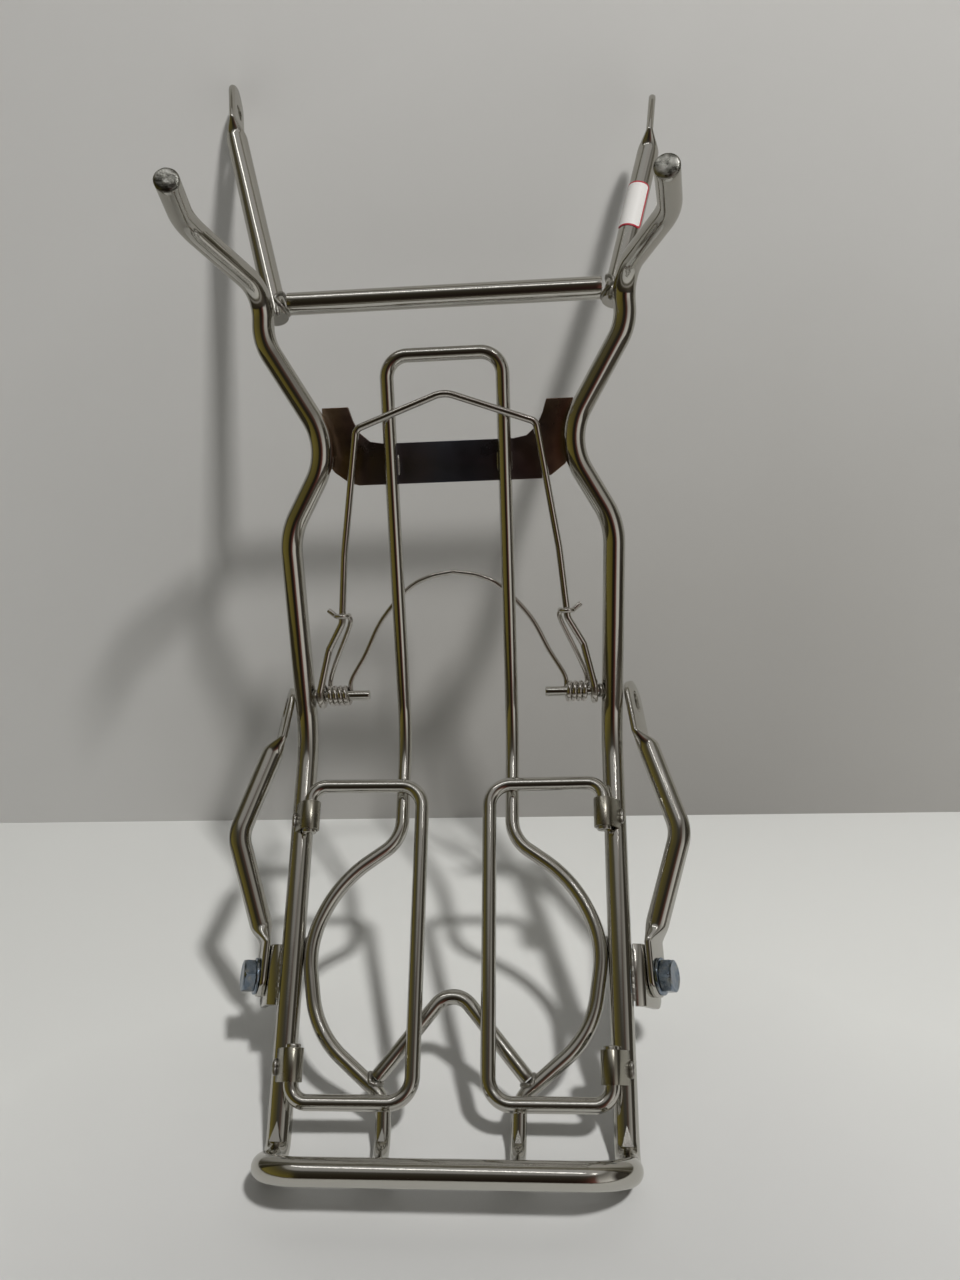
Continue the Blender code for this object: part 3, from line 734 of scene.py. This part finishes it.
# ---- package loop, brace and plate ----
def loop_corners(side):
    bulge = rail_x(0.106) - TUBE_R - ROD_R - GAP
    low = [(LOOP_LEG_END_X, -LIP_DROP, LIP - TUBE_R - GAP), (LOOP_LEG_X, 0.0), *LOOP_CROOK,
           (bulge + 0.0021, 0.1060), (0.0665, 0.1400), (0.0320, 0.1640),
           (LOOP_X - 0.0005, LOWER_LENGTH, -LOOP_SET_BACK / 2)]
    top = upper(LOOP_X + 0.0005, LOOP_TOP, -LOOP_SET_BACK)
    return on_side(side, [lower(*place) for place in low] + [top])


def package_loop():
    path = bent(loop_corners(-1) + loop_corners(1)[::-1], LOOP_RADII + LOOP_RADII[::-1])
    add_skin("package_loop", round_bar(path, ROD_R, ROD_SIDES, 0.0002), STEEL)


def brace_rod():
    apex = lower(0.0, BRACE_APEX_S)
    ends = []
    for _, side in SIDES:
        met = lower(side * BRACE_END[0], BRACE_END[1])
        ends.append(met + (apex - met).normalized() * (ROD_R + GAP + 0.0001))
    path = bent([ends[0], apex, ends[1]], [0.012])
    add_skin("brace_rod", round_bar(path, ROD_R, ROD_SIDES, 0.0002), STEEL)


def saddle_plate():
    half = [(0.0, 0.1510), (0.0540, 0.1510), (0.0600, 0.1530), (0.0680, 0.1590), (0.0735, 0.1670),
            (0.0735, 0.1965), (0.0580, 0.1965), (0.0555, 0.1885), (0.0520, 0.1815), (0.0460, 0.1762),
            (0.0380, 0.1748)]
    outline = half + [(-x, v) for x, v in reversed(half[1:])]
    back = -(TUBE_R + GAP + PLATE_T)
    bm = sheet(outline, lambda x, v, h: upper(x, v, back + h), PLATE_T, 0.0004)
    add_skin("saddle_plate", bm, PLATE, slot="heat_tinted_steel")


# ---- clips and spring pins ----
def clip_place(side, low):
    """Maps (a across the strap, b from the rail's centre, height up the rail) to a point."""
    out = Vector((-HINGE_INSET, HINGE_N)).normalized()

    def place(a, b, height):
        x = rail_x(low + height) + out.x * b - out.y * a
        return lower(side * x, low + height, out.y * b + out.x * a)

    return place


def clip_outline():
    reach = hypot(HINGE_INSET, HINGE_N)
    inner = ROD_R + 0.0003
    outer = inner + CLIP_T
    steps = 28
    points = []
    for radius, order in ((outer, 1), (inner, -1)):
        arc = circle(radius, 2 * steps, (0.0, reach))[:steps + 1]
        foot = sqrt(TUBE_R ** 2 - radius ** 2)
        points += ([(radius, foot)] + arc + [(-radius, foot)])[::order]
    return points


def clip_lows():
    """Where the lower end of each clip is along the rail."""
    return {"upper": WING_HIGH - WING_END_R - GAP - CLIP_LENGTH, "lower": WING_LOW + WING_END_R + GAP}


def wing_clip(word, side, level, low):
    bm = sheet(clip_outline(), clip_place(side, low), CLIP_LENGTH, 0.0003, bevel_steps=2)
    add_skin(word + "_" + level + "_clip", bm, STRAP)


def spring_pin(word, side):
    path = [upper(side * x, PIN_V) for x in (KNEE_X - TUBE_R - 0.0003, PIN_END_X)]
    add_skin(word + "_spring_pin", round_bar(path, PIN_R, ROD_SIDES, 0.0007), STEEL)


# ---- stays, brackets and bolts ----
def stay_frame(side):
    """Origin on the bolt axis at the bracket's middle; outward, forward and upward directions."""
    origin = lower(side * STAY_BOLT_X, STAY_BOLT_S, STAY_BOLT_N)
    across = ACROSS * side
    outward = across * cos(STAY_YAW) + LOWER_FRONT * sin(STAY_YAW)
    forward = LOWER_FRONT * cos(STAY_YAW) - across * sin(STAY_YAW)
    return origin, outward, forward, LOWER_UP


def stay_bracket(word, side):
    """Bent sheet: one flange square to the bolt, the other turned in to the rail."""
    origin, outward, forward, up = stay_frame(side)
    thick = BRACKET_T / 2
    half = BRACKET_HEIGHT / 2
    profile = [(-thick, -0.0115), (thick, -0.0115), (thick, 0.0106), (thick - 0.0004, 0.0122),
               (-0.0029, 0.0156), (-0.0044, 0.0135), (-thick, 0.0102)]
    bm = bmesh.new()
    base = [bm.verts.new(origin + outward * a + forward * b - up * half) for a, b in profile]
    top = [bm.verts.new(v.co + up * BRACKET_HEIGHT) for v in base]
    bm.faces.new(base)
    bm.faces.new(top)
    quads(bm, [base, top])
    free = [e for e in bm.edges if set(e.verts) in ({base[0], base[1]}, {top[0], top[1]})]
    bmesh.ops.bevel(bm, geom=free, offset=0.006, segments=10, profile=0.5, affect="EDGES")
    bmesh.ops.recalc_face_normals(bm, faces=bm.faces)
    rims = [e for e in bm.edges if e.calc_face_angle(0.0) > SHARP_EDGE]
    bmesh.ops.bevel(bm, geom=rims, offset=0.0004, segments=2, profile=0.5, affect="EDGES")
    obj = add_skin(word + "_stay_bracket", bm, STEEL)
    drill(obj, origin, outward, BOLT_R + GAP)


def stay(word, side):
    origin, outward, forward, up = stay_frame(side)
    seat = BRACKET_T / 2 + GAP + TAB_R
    lean = STAY_LEAN / STAY_LENGTH

    def at(height, bow=0.0):
        return origin + outward * (seat + bow) + forward * height * lean + up * height

    bottom = [at(0.028), at(-0.0108)]
    top = [at(STAY_LENGTH - 0.030, STAY_FLARE[0]), at(STAY_LENGTH + 0.0125, STAY_FLARE[1])]
    shift = outward * STAY_SHIFT
    middle = fine(bent([bottom[0] + shift, at(0.076, STAY_BOW), top[0] + shift], [0.022]))[1:-1]
    path, sections = tab_sections(*top, middle, shift)
    ends, end_sections = tab_sections(*bottom, [], shift)
    bm = loft(ends[::-1] + path, end_sections[::-1] + sections, forward)
    obj = add_skin(word + "_stay", bm, STEEL, word + "_stay")
    drill(obj, at(0.0), outward, BOLT_R + GAP)
    slot_r, slot_length = STAY_SLOT
    slot_centre = top[0].lerp(top[1], 0.030 / 0.0425)
    drill(obj, slot_centre, outward, slot_r, (at(1.0) - at(0.0)).normalized() * slot_length)


def hex_radius(angle, size):
    """Distance to a hexagon's edge in a direction."""
    half_side = pi / 6
    return size * cos(radians(30)) / cos((angle + half_side) % (pi / 3) - half_side)


def turned(levels, place, steps=96):
    """A solid round an axis: each level is a height, a hexagon's size or None, and a largest radius."""
    bm = bmesh.new()
    rings = []
    for height, size, limit in levels:
        points = []
        for k in range(steps):
            angle = tau * k / steps
            radius = min(hex_radius(angle, size), limit) if size else limit
            points.append(bm.verts.new(place(radius * cos(angle), radius * sin(angle), height)))
        rings.append(points)
    quads(bm, rings)
    bm.faces.new(rings[0])
    bm.faces.new(rings[-1])
    return bm


def stay_bolt(word, side):
    """Hexagon bolt with a chamfered, slightly dished head, its washer and its nut."""
    origin, outward, forward, up = stay_frame(side)
    washer_start = BRACKET_T / 2 + GAP + 2 * TAB_R + GAP
    head = washer_start + WASHER_T + GAP
    top = head + HEAD_HEIGHT
    tail = -0.0125
    thread = 0.00125

    def place(a, b, height):
        return origin + outward * height + up * a + forward * b

    threads = []
    height = tail + 0.0009
    while height < -BRACKET_T / 2:
        threads += [(height, None, BOLT_R), (height + thread / 2, None, BOLT_R - 0.0007)]
        height += thread
    levels = [(tail, None, BOLT_R - 0.0012)] + threads + [(head - 0.0001, None, BOLT_R)]
    levels += [(head, HEX_R, HEX_R - 0.0006), (head + 0.0003, HEX_R, HEX_R),
               (top - 0.0014, HEX_R, HEX_R), (top - 0.0009, HEX_R, HEX_R * 0.955)]
    levels += [(top - drop, None, HEX_R * part) for drop, part in (
        (0.0004, 0.90), (0.0, 0.80), (0.0001, 0.72), (0.0004, 0.62), (0.0004, 0.2))]
    sharp = radians(22)
    add_skin(word + "_stay_bolt", turned(levels, place), ZINC, slot="zinc_plate", sharp=sharp)
    washer = sheet(circle(WASHER_R, 72), lambda a, b, h: place(a, b, washer_start + h), WASHER_T, 0.0003,
                   hole=circle(BOLT_R + GAP, 40))
    add_skin(word + "_stay_washer", washer, ZINC, slot="zinc_plate")
    nut_top = -BRACKET_T / 2 - GAP
    bore = BOLT_R + 0.0001
    low = nut_top - NUT_HEIGHT
    bm = turned([(nut_top, None, bore), (nut_top, HEX_R, HEX_R * 0.93), (nut_top - 0.0008, HEX_R, HEX_R),
                 (low + 0.0008, HEX_R, HEX_R), (low, HEX_R, HEX_R * 0.93), (low, None, bore + 0.0005),
                 (low + 0.0007, None, bore), (nut_top - 0.0001, None, bore)], place)
    caps = [f for f in bm.faces if len(f.verts) > 4]
    bmesh.ops.delete(bm, geom=caps, context="FACES_ONLY")
    rims = [e for e in bm.edges if e.is_boundary]
    bmesh.ops.bridge_loops(bm, edges=rims)
    add_skin(word + "_stay_nut", bm, ZINC, slot="zinc_plate", sharp=sharp)


# ---- wings ----
def on_hinge(side, s):
    return lower(side * (rail_x(s) - HINGE_INSET), s, HINGE_N)


def wing(word, side):
    inside = WING_END_R + CLIP_LENGTH + 0.0022
    inner = [lower(side * WING_IN_X, s, WING_IN_N) for s in (WING_HIGH, WING_LOW)]
    corners = [on_hinge(side, WING_HIGH - inside), on_hinge(side, WING_HIGH), *inner,
               on_hinge(side, WING_LOW), on_hinge(side, WING_LOW + inside)]
    path = bent(corners, [WING_END_R, WING_IN_R, WING_IN_R, WING_END_R])
    add_skin(word + "_wing", round_bar(path, ROD_R, ROD_SIDES), STEEL, word + "_wing")


# ---- bail and its spring ----
def bail_point(x, v):
    """In the bail's plane: on the pins' axis below, on the front of the loop above."""
    top = ROD_R - LOOP_SET_BACK + BAIL_R + 2 * GAP
    return upper(x, v, top * (v - PIN_V) / (0.186 - PIN_V))


def bail():
    eye = PIN_R + BAIL_R + 2 * GAP
    sides = []
    for side in (1, -1):
        centre = upper(side * BAIL_EYE_X, PIN_V)
        eye_turn = turns(centre, ACROSS, UPPER_FRONT * eye, radians(285))[::-1]
        leg = [bail_point(side * x, v) for x, v in ((0.0815, 0.0350), (0.0763, 0.0540), (0.0672, 0.0700),
                                                    (0.0632, 0.1110), BAIL_SHOULDER)]
        leg[0] = centre + UPPER_FRONT * eye + UPPER_UP * 0.004
        sides.append(eye_turn[:-1] + bent([eye_turn[-1]] + leg, [0.002, 0.006, 0.008, 0.05])[1:-1])
    shoulder_x, shoulder_v = BAIL_SHOULDER
    top = bent([sides[0][-1], bail_point(shoulder_x, shoulder_v), bail_point(0.0, 0.2015),
                bail_point(-shoulder_x, shoulder_v), sides[1][-1]], [0.005, 0.016, 0.005])
    path = sides[0] + top[1:-1] + sides[1][::-1]
    add_skin("bail", round_bar(path, BAIL_R, WIRE_SIDES, 0.0004), WIRE, "bail", slot="spring_wire")


def spring_half(word, side):
    """Hook, arm, coil and half of the arch; the hook wraps round the bail's leg and the coil lies round
    the pins' axis.
    """
    hook_v = 0.0745
    hook_r = BAIL_R + SPRING_R + GAP
    across = ACROSS * side
    leg = bail_point(side * 0.0668, hook_v)
    tail = leg + across * (hook_r + 0.0045) + UPPER_UP * 0.0035 - UPPER_FRONT * 0.0010
    hook = turns(leg, UPPER_UP, across * hook_r, -side * radians(200))
    inner_x = COIL_X - COIL_TURNS * COIL_PITCH
    coil = turns(upper(side * COIL_X, PIN_V), across, -UPPER_FRONT * COIL_R,
                 tau * COIL_TURNS * side, -COIL_TURNS * COIL_PITCH)
    arm_points = [hook[-1], hook[-1] - UPPER_UP * 0.0060 - UPPER_FRONT * 0.0012,
                  upper(side * 0.0728, 0.0470, -0.0030),
                  upper(side * (COIL_X - 0.0003), PIN_V + 0.0085, -COIL_R), coil[0]]
    arch = [coil[-1]] + [upper(side * x, v, n) for x, v, n in (
        (inner_x - 0.0008, PIN_V + 0.0085, -COIL_R - 0.0004), (0.0560, 0.0490, -0.0080),
        (0.0452, 0.0695, -0.0092), (0.0285, 0.0880, -0.0092), (0.0150, 0.0952, -0.0092),
        (0.0, 0.0980, -0.0092))]
    path = [tail] + hook[:-1] + smooth(arm_points)[:-1] + coil[:-1] + smooth(arch)
    obj = add_piece("torsion_spring_" + word, round_bar(path, SPRING_R, WIRE_SIDES, 0.0002), WIRE, None,
                    "torsion_spring", "spring_wire")
    base = upper(0.0, PIN_V)
    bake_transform(obj)


# ---- label ----
def arm_label():
    """A plain label wrapped round the right arm, with a border that its material paints."""
    foot, step = arm_path(1)[:2]
    along = (step - foot).normalized()
    facing = Vector((-0.35, -1.0, 0.0))
    facing = (facing - along * facing.dot(along)).normalized()
    across = along.cross(facing)
    start = foot.lerp(step, 0.46)
    length = 0.030
    half_width = radians(75) * TUBE_R
    corner = 0.0025
    border = 0.0011
    columns, rows = 48, 80
    bm = bmesh.new()
    layer = bm.verts.layers.float.new("border")

    def vertex(a, h, radius):
        dx = max(abs(a) - (half_width - corner), 0.0)
        dh = max(abs(h) - (length / 2 - corner), 0.0)
        over = hypot(dx, dh)
        if over > corner:
            a -= copysign(dx * (1 - corner / over), a)
            h -= copysign(dh * (1 - corner / over), h)
        inset = min(half_width - abs(a), length / 2 - abs(h))
        if dx and dh:
            inset = corner - min(over, corner)
        around = across * sin(a / TUBE_R) + facing * cos(a / TUBE_R)
        vert = bm.verts.new(start + along * (h + length / 2) + around * radius)
        vert[layer] = 1.0 if inset < border else 0.0
        return vert

    rims = []
    for radius in (TUBE_R + 0.00035, TUBE_R + 0.00005):
        grid = [[vertex((2 * k / columns - 1) * half_width, (j / rows - 0.5) * length, radius)
                 for k in range(columns + 1)] for j in range(rows + 1)]
        for low, high in zip(grid, grid[1:]):
            for k in range(columns):
                bm.faces.new((low[k], low[k + 1], high[k + 1], high[k]))
        rims.append([row[0] for row in grid[:-1]] + grid[-1][:-1]
                    + [row[-1] for row in grid[:0:-1]] + grid[0][:0:-1])
    quads(bm, rims)
    add_piece("arm_label_film", bm, FILM, "frame", "arm_label", "label")


# ---- welds: each function gives the beads of one side ----
def crossbar_weld(side):
    foot, step = arm_path(side)[:2]
    start = upper(side * (ARM_X - 0.030), CROSSBAR_V, ARM_N)
    seam = saddle(start, ACROSS * side, TUBE_R, foot, (step - foot).normalized(), TUBE_R + 0.0003)
    return bead(seam, 0.0011, closed=True, pitch=0.0030, rough=0.08, seed=1 + side)


def arm_foot_welds(side):
    """Two beads along the line where the arm lies on the rail's back."""
    foot, step = arm_path(side)[:2]
    along = (step - foot).normalized()
    beads = []
    for across in (-0.0048, 0.0048):
        seam = []
        for k in range(6):
            on_arm = foot + along * (0.0010 + 0.0020 * k)
            on_rail = rail_near(on_arm, side)
            seam.append(on_arm.lerp(on_rail, 0.5) + ACROSS * side * across)
        beads.append(bead(seam, 0.0014, seed=3 + across * 100 + side))
    return beads


def loop_bulge_weld(side):
    """Behind the place where the loop touches the rail."""
    seam = [lower(side * (rail_x(s) - TUBE_R - 0.0004), s, -0.0034) for s in (0.0985, 0.1045, 0.1105)]
    return bead(seam, 0.0016, seed=5)


def brace_weld(side):
    met = lower(side * BRACE_END[0], BRACE_END[1])
    along = (met - lower(0.0, BRACE_APEX_S)).normalized()
    crook = [lower(side * x, s) for x, s in LOOP_CROOK]
    loop_axis = (crook[1] - crook[0]).normalized()
    seam = saddle(met - along * 0.012, along, ROD_R, met, loop_axis, ROD_R + 0.0002)
    return bead(seam, 0.0013, closed=True, seed=7 + side)


def leg_weld(side):
    end = lower(side * LOOP_LEG_END_X, -LIP_DROP, LIP - TUBE_R - GAP)
    along = (end - lower(side * LOOP_LEG_X, 0.0)).normalized()
    bar = lower(side * LOOP_LEG_END_X, -LIP_DROP, LIP)
    seam = saddle(end - along * 0.012, along, ROD_R, bar, ACROSS, TUBE_R + 0.0002)
    return bead(seam, 0.0012, closed=True, seed=9 + side)


def plate_welds(side):
    """Beads on the plate beside the rail and beside the loop."""
    beads = []
    for v_low, v_high, offset in ((0.1585, 0.1680, 0.0048), (0.1780, 0.1900, -0.0050)):
        seam = []
        for k in range(7):
            v = v_low + (v_high - v_low) * k / 6
            centre = rail_near(upper(side * SADDLE_RAIL_X, v), side)
            seam.append(centre - UPPER_FRONT * (TUBE_R - 0.0016) - ACROSS * side * offset)
        beads.append(bead(seam, 0.0014, seed=11 + offset * 100))
    for offset in (-0.0034, 0.0034):
        seam = [upper(side * (LOOP_X + offset), v, -LOOP_SET_BACK - ROD_R + 0.0010)
                for v in (0.1560, 0.1620, 0.1680)]
        beads.append(bead(seam, 0.0013, seed=13 + offset * 100))
    return beads


def clip_welds(side, low):
    """Beads along the strap's outer foot and a short one on its inner foot."""
    place = clip_place(side, low)
    reach = 0.0056
    foot = sqrt(TUBE_R ** 2 - reach ** 2)
    beads = []
    for a, start, end in ((-reach, 0.0030, 0.0115), (reach, 0.0050, 0.0110)):
        seam = [place(a * 1.06, foot - 0.0004, h) for h in (start, (start + end) / 2, end)]
        beads.append(bead(seam, 0.0015, pitch=0.0045, rough=0.08, seed=15 + a * 100 + low))
    return beads


def bracket_weld(side):
    origin, outward, forward, up = stay_frame(side)
    seam = [origin - outward * 0.0042 + forward * 0.0150 + up * BRACKET_HEIGHT * f
            for f in (-0.42, -0.2, 0.05, 0.25, 0.42)]
    return bead(seam, 0.0017, pitch=0.0030, rough=0.25, seed=17 + side)


def pin_weld(side):
    start = upper(side * 0.060, PIN_V)
    centre = upper(side * KNEE_X, PIN_V)
    seam = saddle(start, ACROSS * side, PIN_R, centre, UPPER_UP, TUBE_R + 0.0003)
    return bead(seam, 0.0011, closed=True, seed=19 + side)


def all_welds():
    for word, side in SIDES:
        beads = {
            "crossbar": [crossbar_weld(side)],
            "arm_foot": arm_foot_welds(side),
            "loop": [loop_bulge_weld(side), brace_weld(side), leg_weld(side)],
            "plate": plate_welds(side),
            "clips": [b for low in clip_lows().values() for b in clip_welds(side, low)],
            "bracket": [bracket_weld(side)],
            "spring_pin": [pin_weld(side)],
        }
        for name, parts in beads.items():
            add_piece("weld_" + word + "_" + name, merge(parts), WELD, "frame")


def spread_heat(obj):
    """Writes how near each vertex is to a weld."""
    reach = 0.007
    count = len(obj.data.vertices)
    places = np.zeros(count * 3)
    obj.data.vertices.foreach_get("co", places)
    places = places.reshape(-1, 3)
    nearest = np.full(count, 1.0)
    for point in WELD_POINTS:
        nearest = np.minimum(nearest, np.linalg.norm(places - np.array(point), axis=1))
    layer = obj.data.attributes.new("heat", "FLOAT", "POINT")
    layer.data.foreach_set("value", np.exp(-(nearest / reach) ** 2).astype(np.float32))


def build_rack():
    frame_tube()
    foot_webs()
    crossbar()
    package_loop()
    brace_rod()
    saddle_plate()
    bail()
    arm_label()
    for word, side in SIDES:
        horn_cap(word, side)
        arm(word, side)
        spring_pin(word, side)
        spring_half(word, side)
        wing(word, side)
        stay_bracket(word, side)
        stay(word, side)
        stay_bolt(word, side)
        for level, low in clip_lows().items():
            wing_clip(word, side, level, low)
    all_welds()
    finished = (STEEL, WIRE, STRAP, PLATE)
    for obj in list(bpy.data.objects):
        if obj.type == "MESH" and obj.data.materials and obj.data.materials[0] in finished:
            spread_heat(obj)


# ---- floor, wall, light and camera ----
WALL_Y = 0.1900
MIRROR_REACH = 2.0


def plane(name, corners, mat):
    mesh = bpy.data.meshes.new(name)
    mesh.from_pydata(corners, [], [(0, 1, 2, 3)])
    mesh.materials.append(mat)
    new_object(name, mesh)


def away_from(tree, centre, reach):
    """The distance from a place, 1 where it is the reach."""
    distance = add_node(tree, "ShaderNodeVectorMath", operation="DISTANCE")
    feed(distance, 0, coordinates(tree))
    feed(distance, 1, centre)
    return mapped(distance.outputs["Value"], 0.0, reach)


def painted_shade(tree, centre, reach, stops):
    """Painted shade: colour that is darker near a place and lighter with the distance from it, a little
    clouded.
    """
    away = added(away_from(tree, centre, reach), object_noise(tree, 3.0, 5.0), 0.25)
    return ramp(away, stops)


def plain_with_painted_reflection(shader, plain, centre, stops):
    """The stage is plain to look at; glossy rays see a painted reflection on it instead: the bands of a
    darker room that lies beyond it.
    """
    tree = shader.id_data
    rays = add_node(tree, "ShaderNodeLightPath")
    # Painted reflection: a room's colours laid on the stage for glossy rays only.
    room = ramp(away_from(tree, centre, MIRROR_REACH), stops)
    feed(shader, "Base Color", mixed(rays.outputs["Is Glossy Ray"], plain, room))


def floor_finish():
    mat, tree, shader = nodes_of("pale_floor")
    # Painted shadow: the paper is darker round a place in front of the rack, and lighter towards the
    # wall.
    paper_with_painted_shadow = painted_shade(tree, (0.05, -0.42, 0.0), 0.50,
                   [(0.12, (0.44, 0.445, 0.44)), (0.45, (0.53, 0.535, 0.53)),
                    (0.78, (0.69, 0.695, 0.685)), (1.0, (0.80, 0.81, 0.79))])
    # Painted reflection for glossy rays: near the rack a little darker than the paper, as painted shade,
    # then dark and grey bands of a room.
    stops = [(0.00, (0.55, 0.55, 0.535)), (0.21, (0.58, 0.58, 0.56)), (0.25, (0.20, 0.19, 0.16)),
             (0.31, (0.07, 0.06, 0.045)), (0.36, (0.30, 0.29, 0.27)), (0.44, (0.26, 0.25, 0.22)),
             (0.50, (0.06, 0.05, 0.035)), (1.00, (0.05, 0.04, 0.03))]
    plain_with_painted_reflection(shader, paper_with_painted_shadow, (0.0, -0.05, 0.0), stops)
    shader.inputs["Roughness"].default_value = 0.55
    shader.inputs["Specular IOR Level"].default_value = 0.25
    return mat


def wall_finish():
    """A matt wall that is clear from behind, so that the rack shows from there too."""
    mat, tree, shader = nodes_of("pale_wall")
    # Painted shade: the paint is darker towards the bottom, most of all low down and right of the
    # middle.
    paint_with_painted_shade = painted_shade(tree, (0.15, WALL_Y, -0.05), 0.70,
                   [(0.12, (0.38, 0.37, 0.355)), (0.50, (0.52, 0.51, 0.49)),
                    (0.80, (0.655, 0.65, 0.635)), (1.0, (0.71, 0.705, 0.69))])
    # Painted reflection for glossy rays: grey near the rack, then dark and grey bands of a room.
    stops = [(0.00, (0.56, 0.55, 0.53)), (0.22, (0.46, 0.45, 0.42)), (0.30, (0.14, 0.13, 0.10)),
             (0.42, (0.10, 0.09, 0.06)), (0.50, (0.30, 0.29, 0.26)), (0.60, (0.10, 0.09, 0.06)),
             (1.00, (0.08, 0.07, 0.05))]
    plain_with_painted_reflection(shader, paint_with_painted_shade, (0.0, WALL_Y, 0.25), stops)
    shader.inputs["Roughness"].default_value = 0.6
    shader.inputs["Specular IOR Level"].default_value = 0.2
    face = add_node(tree, "ShaderNodeNewGeometry")
    clear = add_node(tree, "ShaderNodeBsdfTransparent")
    mix = add_node(tree, "ShaderNodeMixShader")
    feed(mix, 0, face.outputs["Backfacing"])
    feed(mix, 1, shader.outputs["BSDF"])
    feed(mix, 2, clear.outputs["BSDF"])
    feed(tree.nodes["Material Output"], "Surface", mix.outputs["Shader"])
    return mat


def stage():
    far = 4.0
    tall = 2.6
    plane("floor", [(-far, -far, 0), (far, -far, 0), (far, far, 0), (-far, far, 0)], floor_finish())
    plane("wall", [(-far, WALL_Y, 0), (far, WALL_Y, 0), (far, WALL_Y, tall), (-far, WALL_Y, tall)],
          wall_finish())


def area_light(name, place, aim, size, power, colour, glossy=True):
    light = bpy.data.lights.new(name, "AREA")
    light.shape = "RECTANGLE"
    light.size, light.size_y = size
    light.energy = power
    light.color = colour
    obj = new_object(name, light)
    obj.location = place
    obj.rotation_euler = (Vector(aim) - Vector(place)).to_track_quat("-Z", "Y").to_euler()
    obj.visible_glossy = glossy


def world():
    """A dim warm room for the steel to mirror; straight views see it pale, matt surfaces dimmer."""
    surroundings = bpy.data.worlds.new("room")
    bpy.context.scene.world = surroundings
    surroundings.use_nodes = True
    tree = surroundings.node_tree
    background = tree.nodes["Background"]
    split = add_node(tree, "ShaderNodeSeparateXYZ", Vector=coordinates(tree, "Generated"))
    sideways = mapped(split.outputs["X"], -1.0, 1.0)
    walls = ramp(sideways, [
        (0.00, (0.15, 0.125, 0.035)), (0.28, (0.10, 0.080, 0.018)), (0.36, (0.02, 0.016, 0.010)),
        (0.50, (0.015, 0.010, 0.008)), (0.56, (0.05, 0.020, 0.015)), (0.66, (0.15, 0.060, 0.048)),
        (0.73, (0.48, 0.46, 0.43)), (0.88, (0.60, 0.58, 0.54)), (0.94, (0.04, 0.035, 0.030)),
        (1.00, (0.05, 0.045, 0.035))])
    height = mapped(split.outputs["Z"], 0.10, 1.0)
    overhead = ramp(height, [
        (0.0, (0.03, 0.025, 0.015)), (0.50, (0.045, 0.040, 0.028)), (0.74, (0.07, 0.065, 0.055)),
        (0.82, (0.32, 0.31, 0.295)), (1.0, (0.44, 0.435, 0.42))])
    room = mixed(mapped(split.outputs["Z"], 0.15, 0.80, 0.0, 0.85), walls, overhead)
    pale = (0.50, 0.49, 0.465, 1.0)
    diffuse_strength = 0.08
    seen = add_node(tree, "ShaderNodeLightPath")
    feed(background, "Color", mixed(seen.outputs["Is Camera Ray"], room, pale))
    dimmed = mapped(seen.outputs["Is Diffuse Ray"], 0.0, 1.0, 1.0, diffuse_strength)
    feed(background, "Strength", dimmed)


def lights():
    """The key light is in two: one only lights, and a weak one shows in the steel too."""
    key = ((0.92, -1.05, 2.45), (0.0, 0.0, 0.2), (0.20, 0.20))
    area_light("key", *key, 41.0, (1.0, 0.985, 0.965), False)
    area_light("key_glint", *key, 8.0, (1.0, 0.99, 0.975))
    area_light("ceiling", (-0.4, -0.5, 2.3), (-0.1, -0.1, 0.0), (1.6, 0.10), 1.5, (1.0, 0.985, 0.97))
    area_light("fill", (-0.9, -1.6, 1.2), (0.0, 0.0, 0.25), (1.5, 1.5), 0.7, (0.98, 0.99, 1.0), False)


def camera():
    """Hand-held, a little above the rack's middle, looking down on it."""
    yaw, pitch, roll = (radians(a) for a in (-4.70, -20.5, -3.13))
    forward = Vector((sin(yaw) * cos(pitch), cos(yaw) * cos(pitch), sin(pitch)))
    level = Vector((cos(yaw), -sin(yaw), 0.0))
    above = level.cross(forward)
    right = level * cos(roll) + above * sin(roll)
    up = above * cos(roll) - level * sin(roll)
    data = bpy.data.cameras.new("camera")
    data.lens = 27.03
    data.clip_start = 0.01
    obj = new_object("camera", data)
    turn = Matrix((right, up, -forward)).transposed().to_4x4()
    obj.matrix_world = Matrix.Translation((0.0589, -0.5013, 0.4163)) @ turn
    bpy.context.scene.camera = obj


build_rack()
stage()
world()
lights()
camera()
bpy.context.scene.view_settings.view_transform = "Standard"
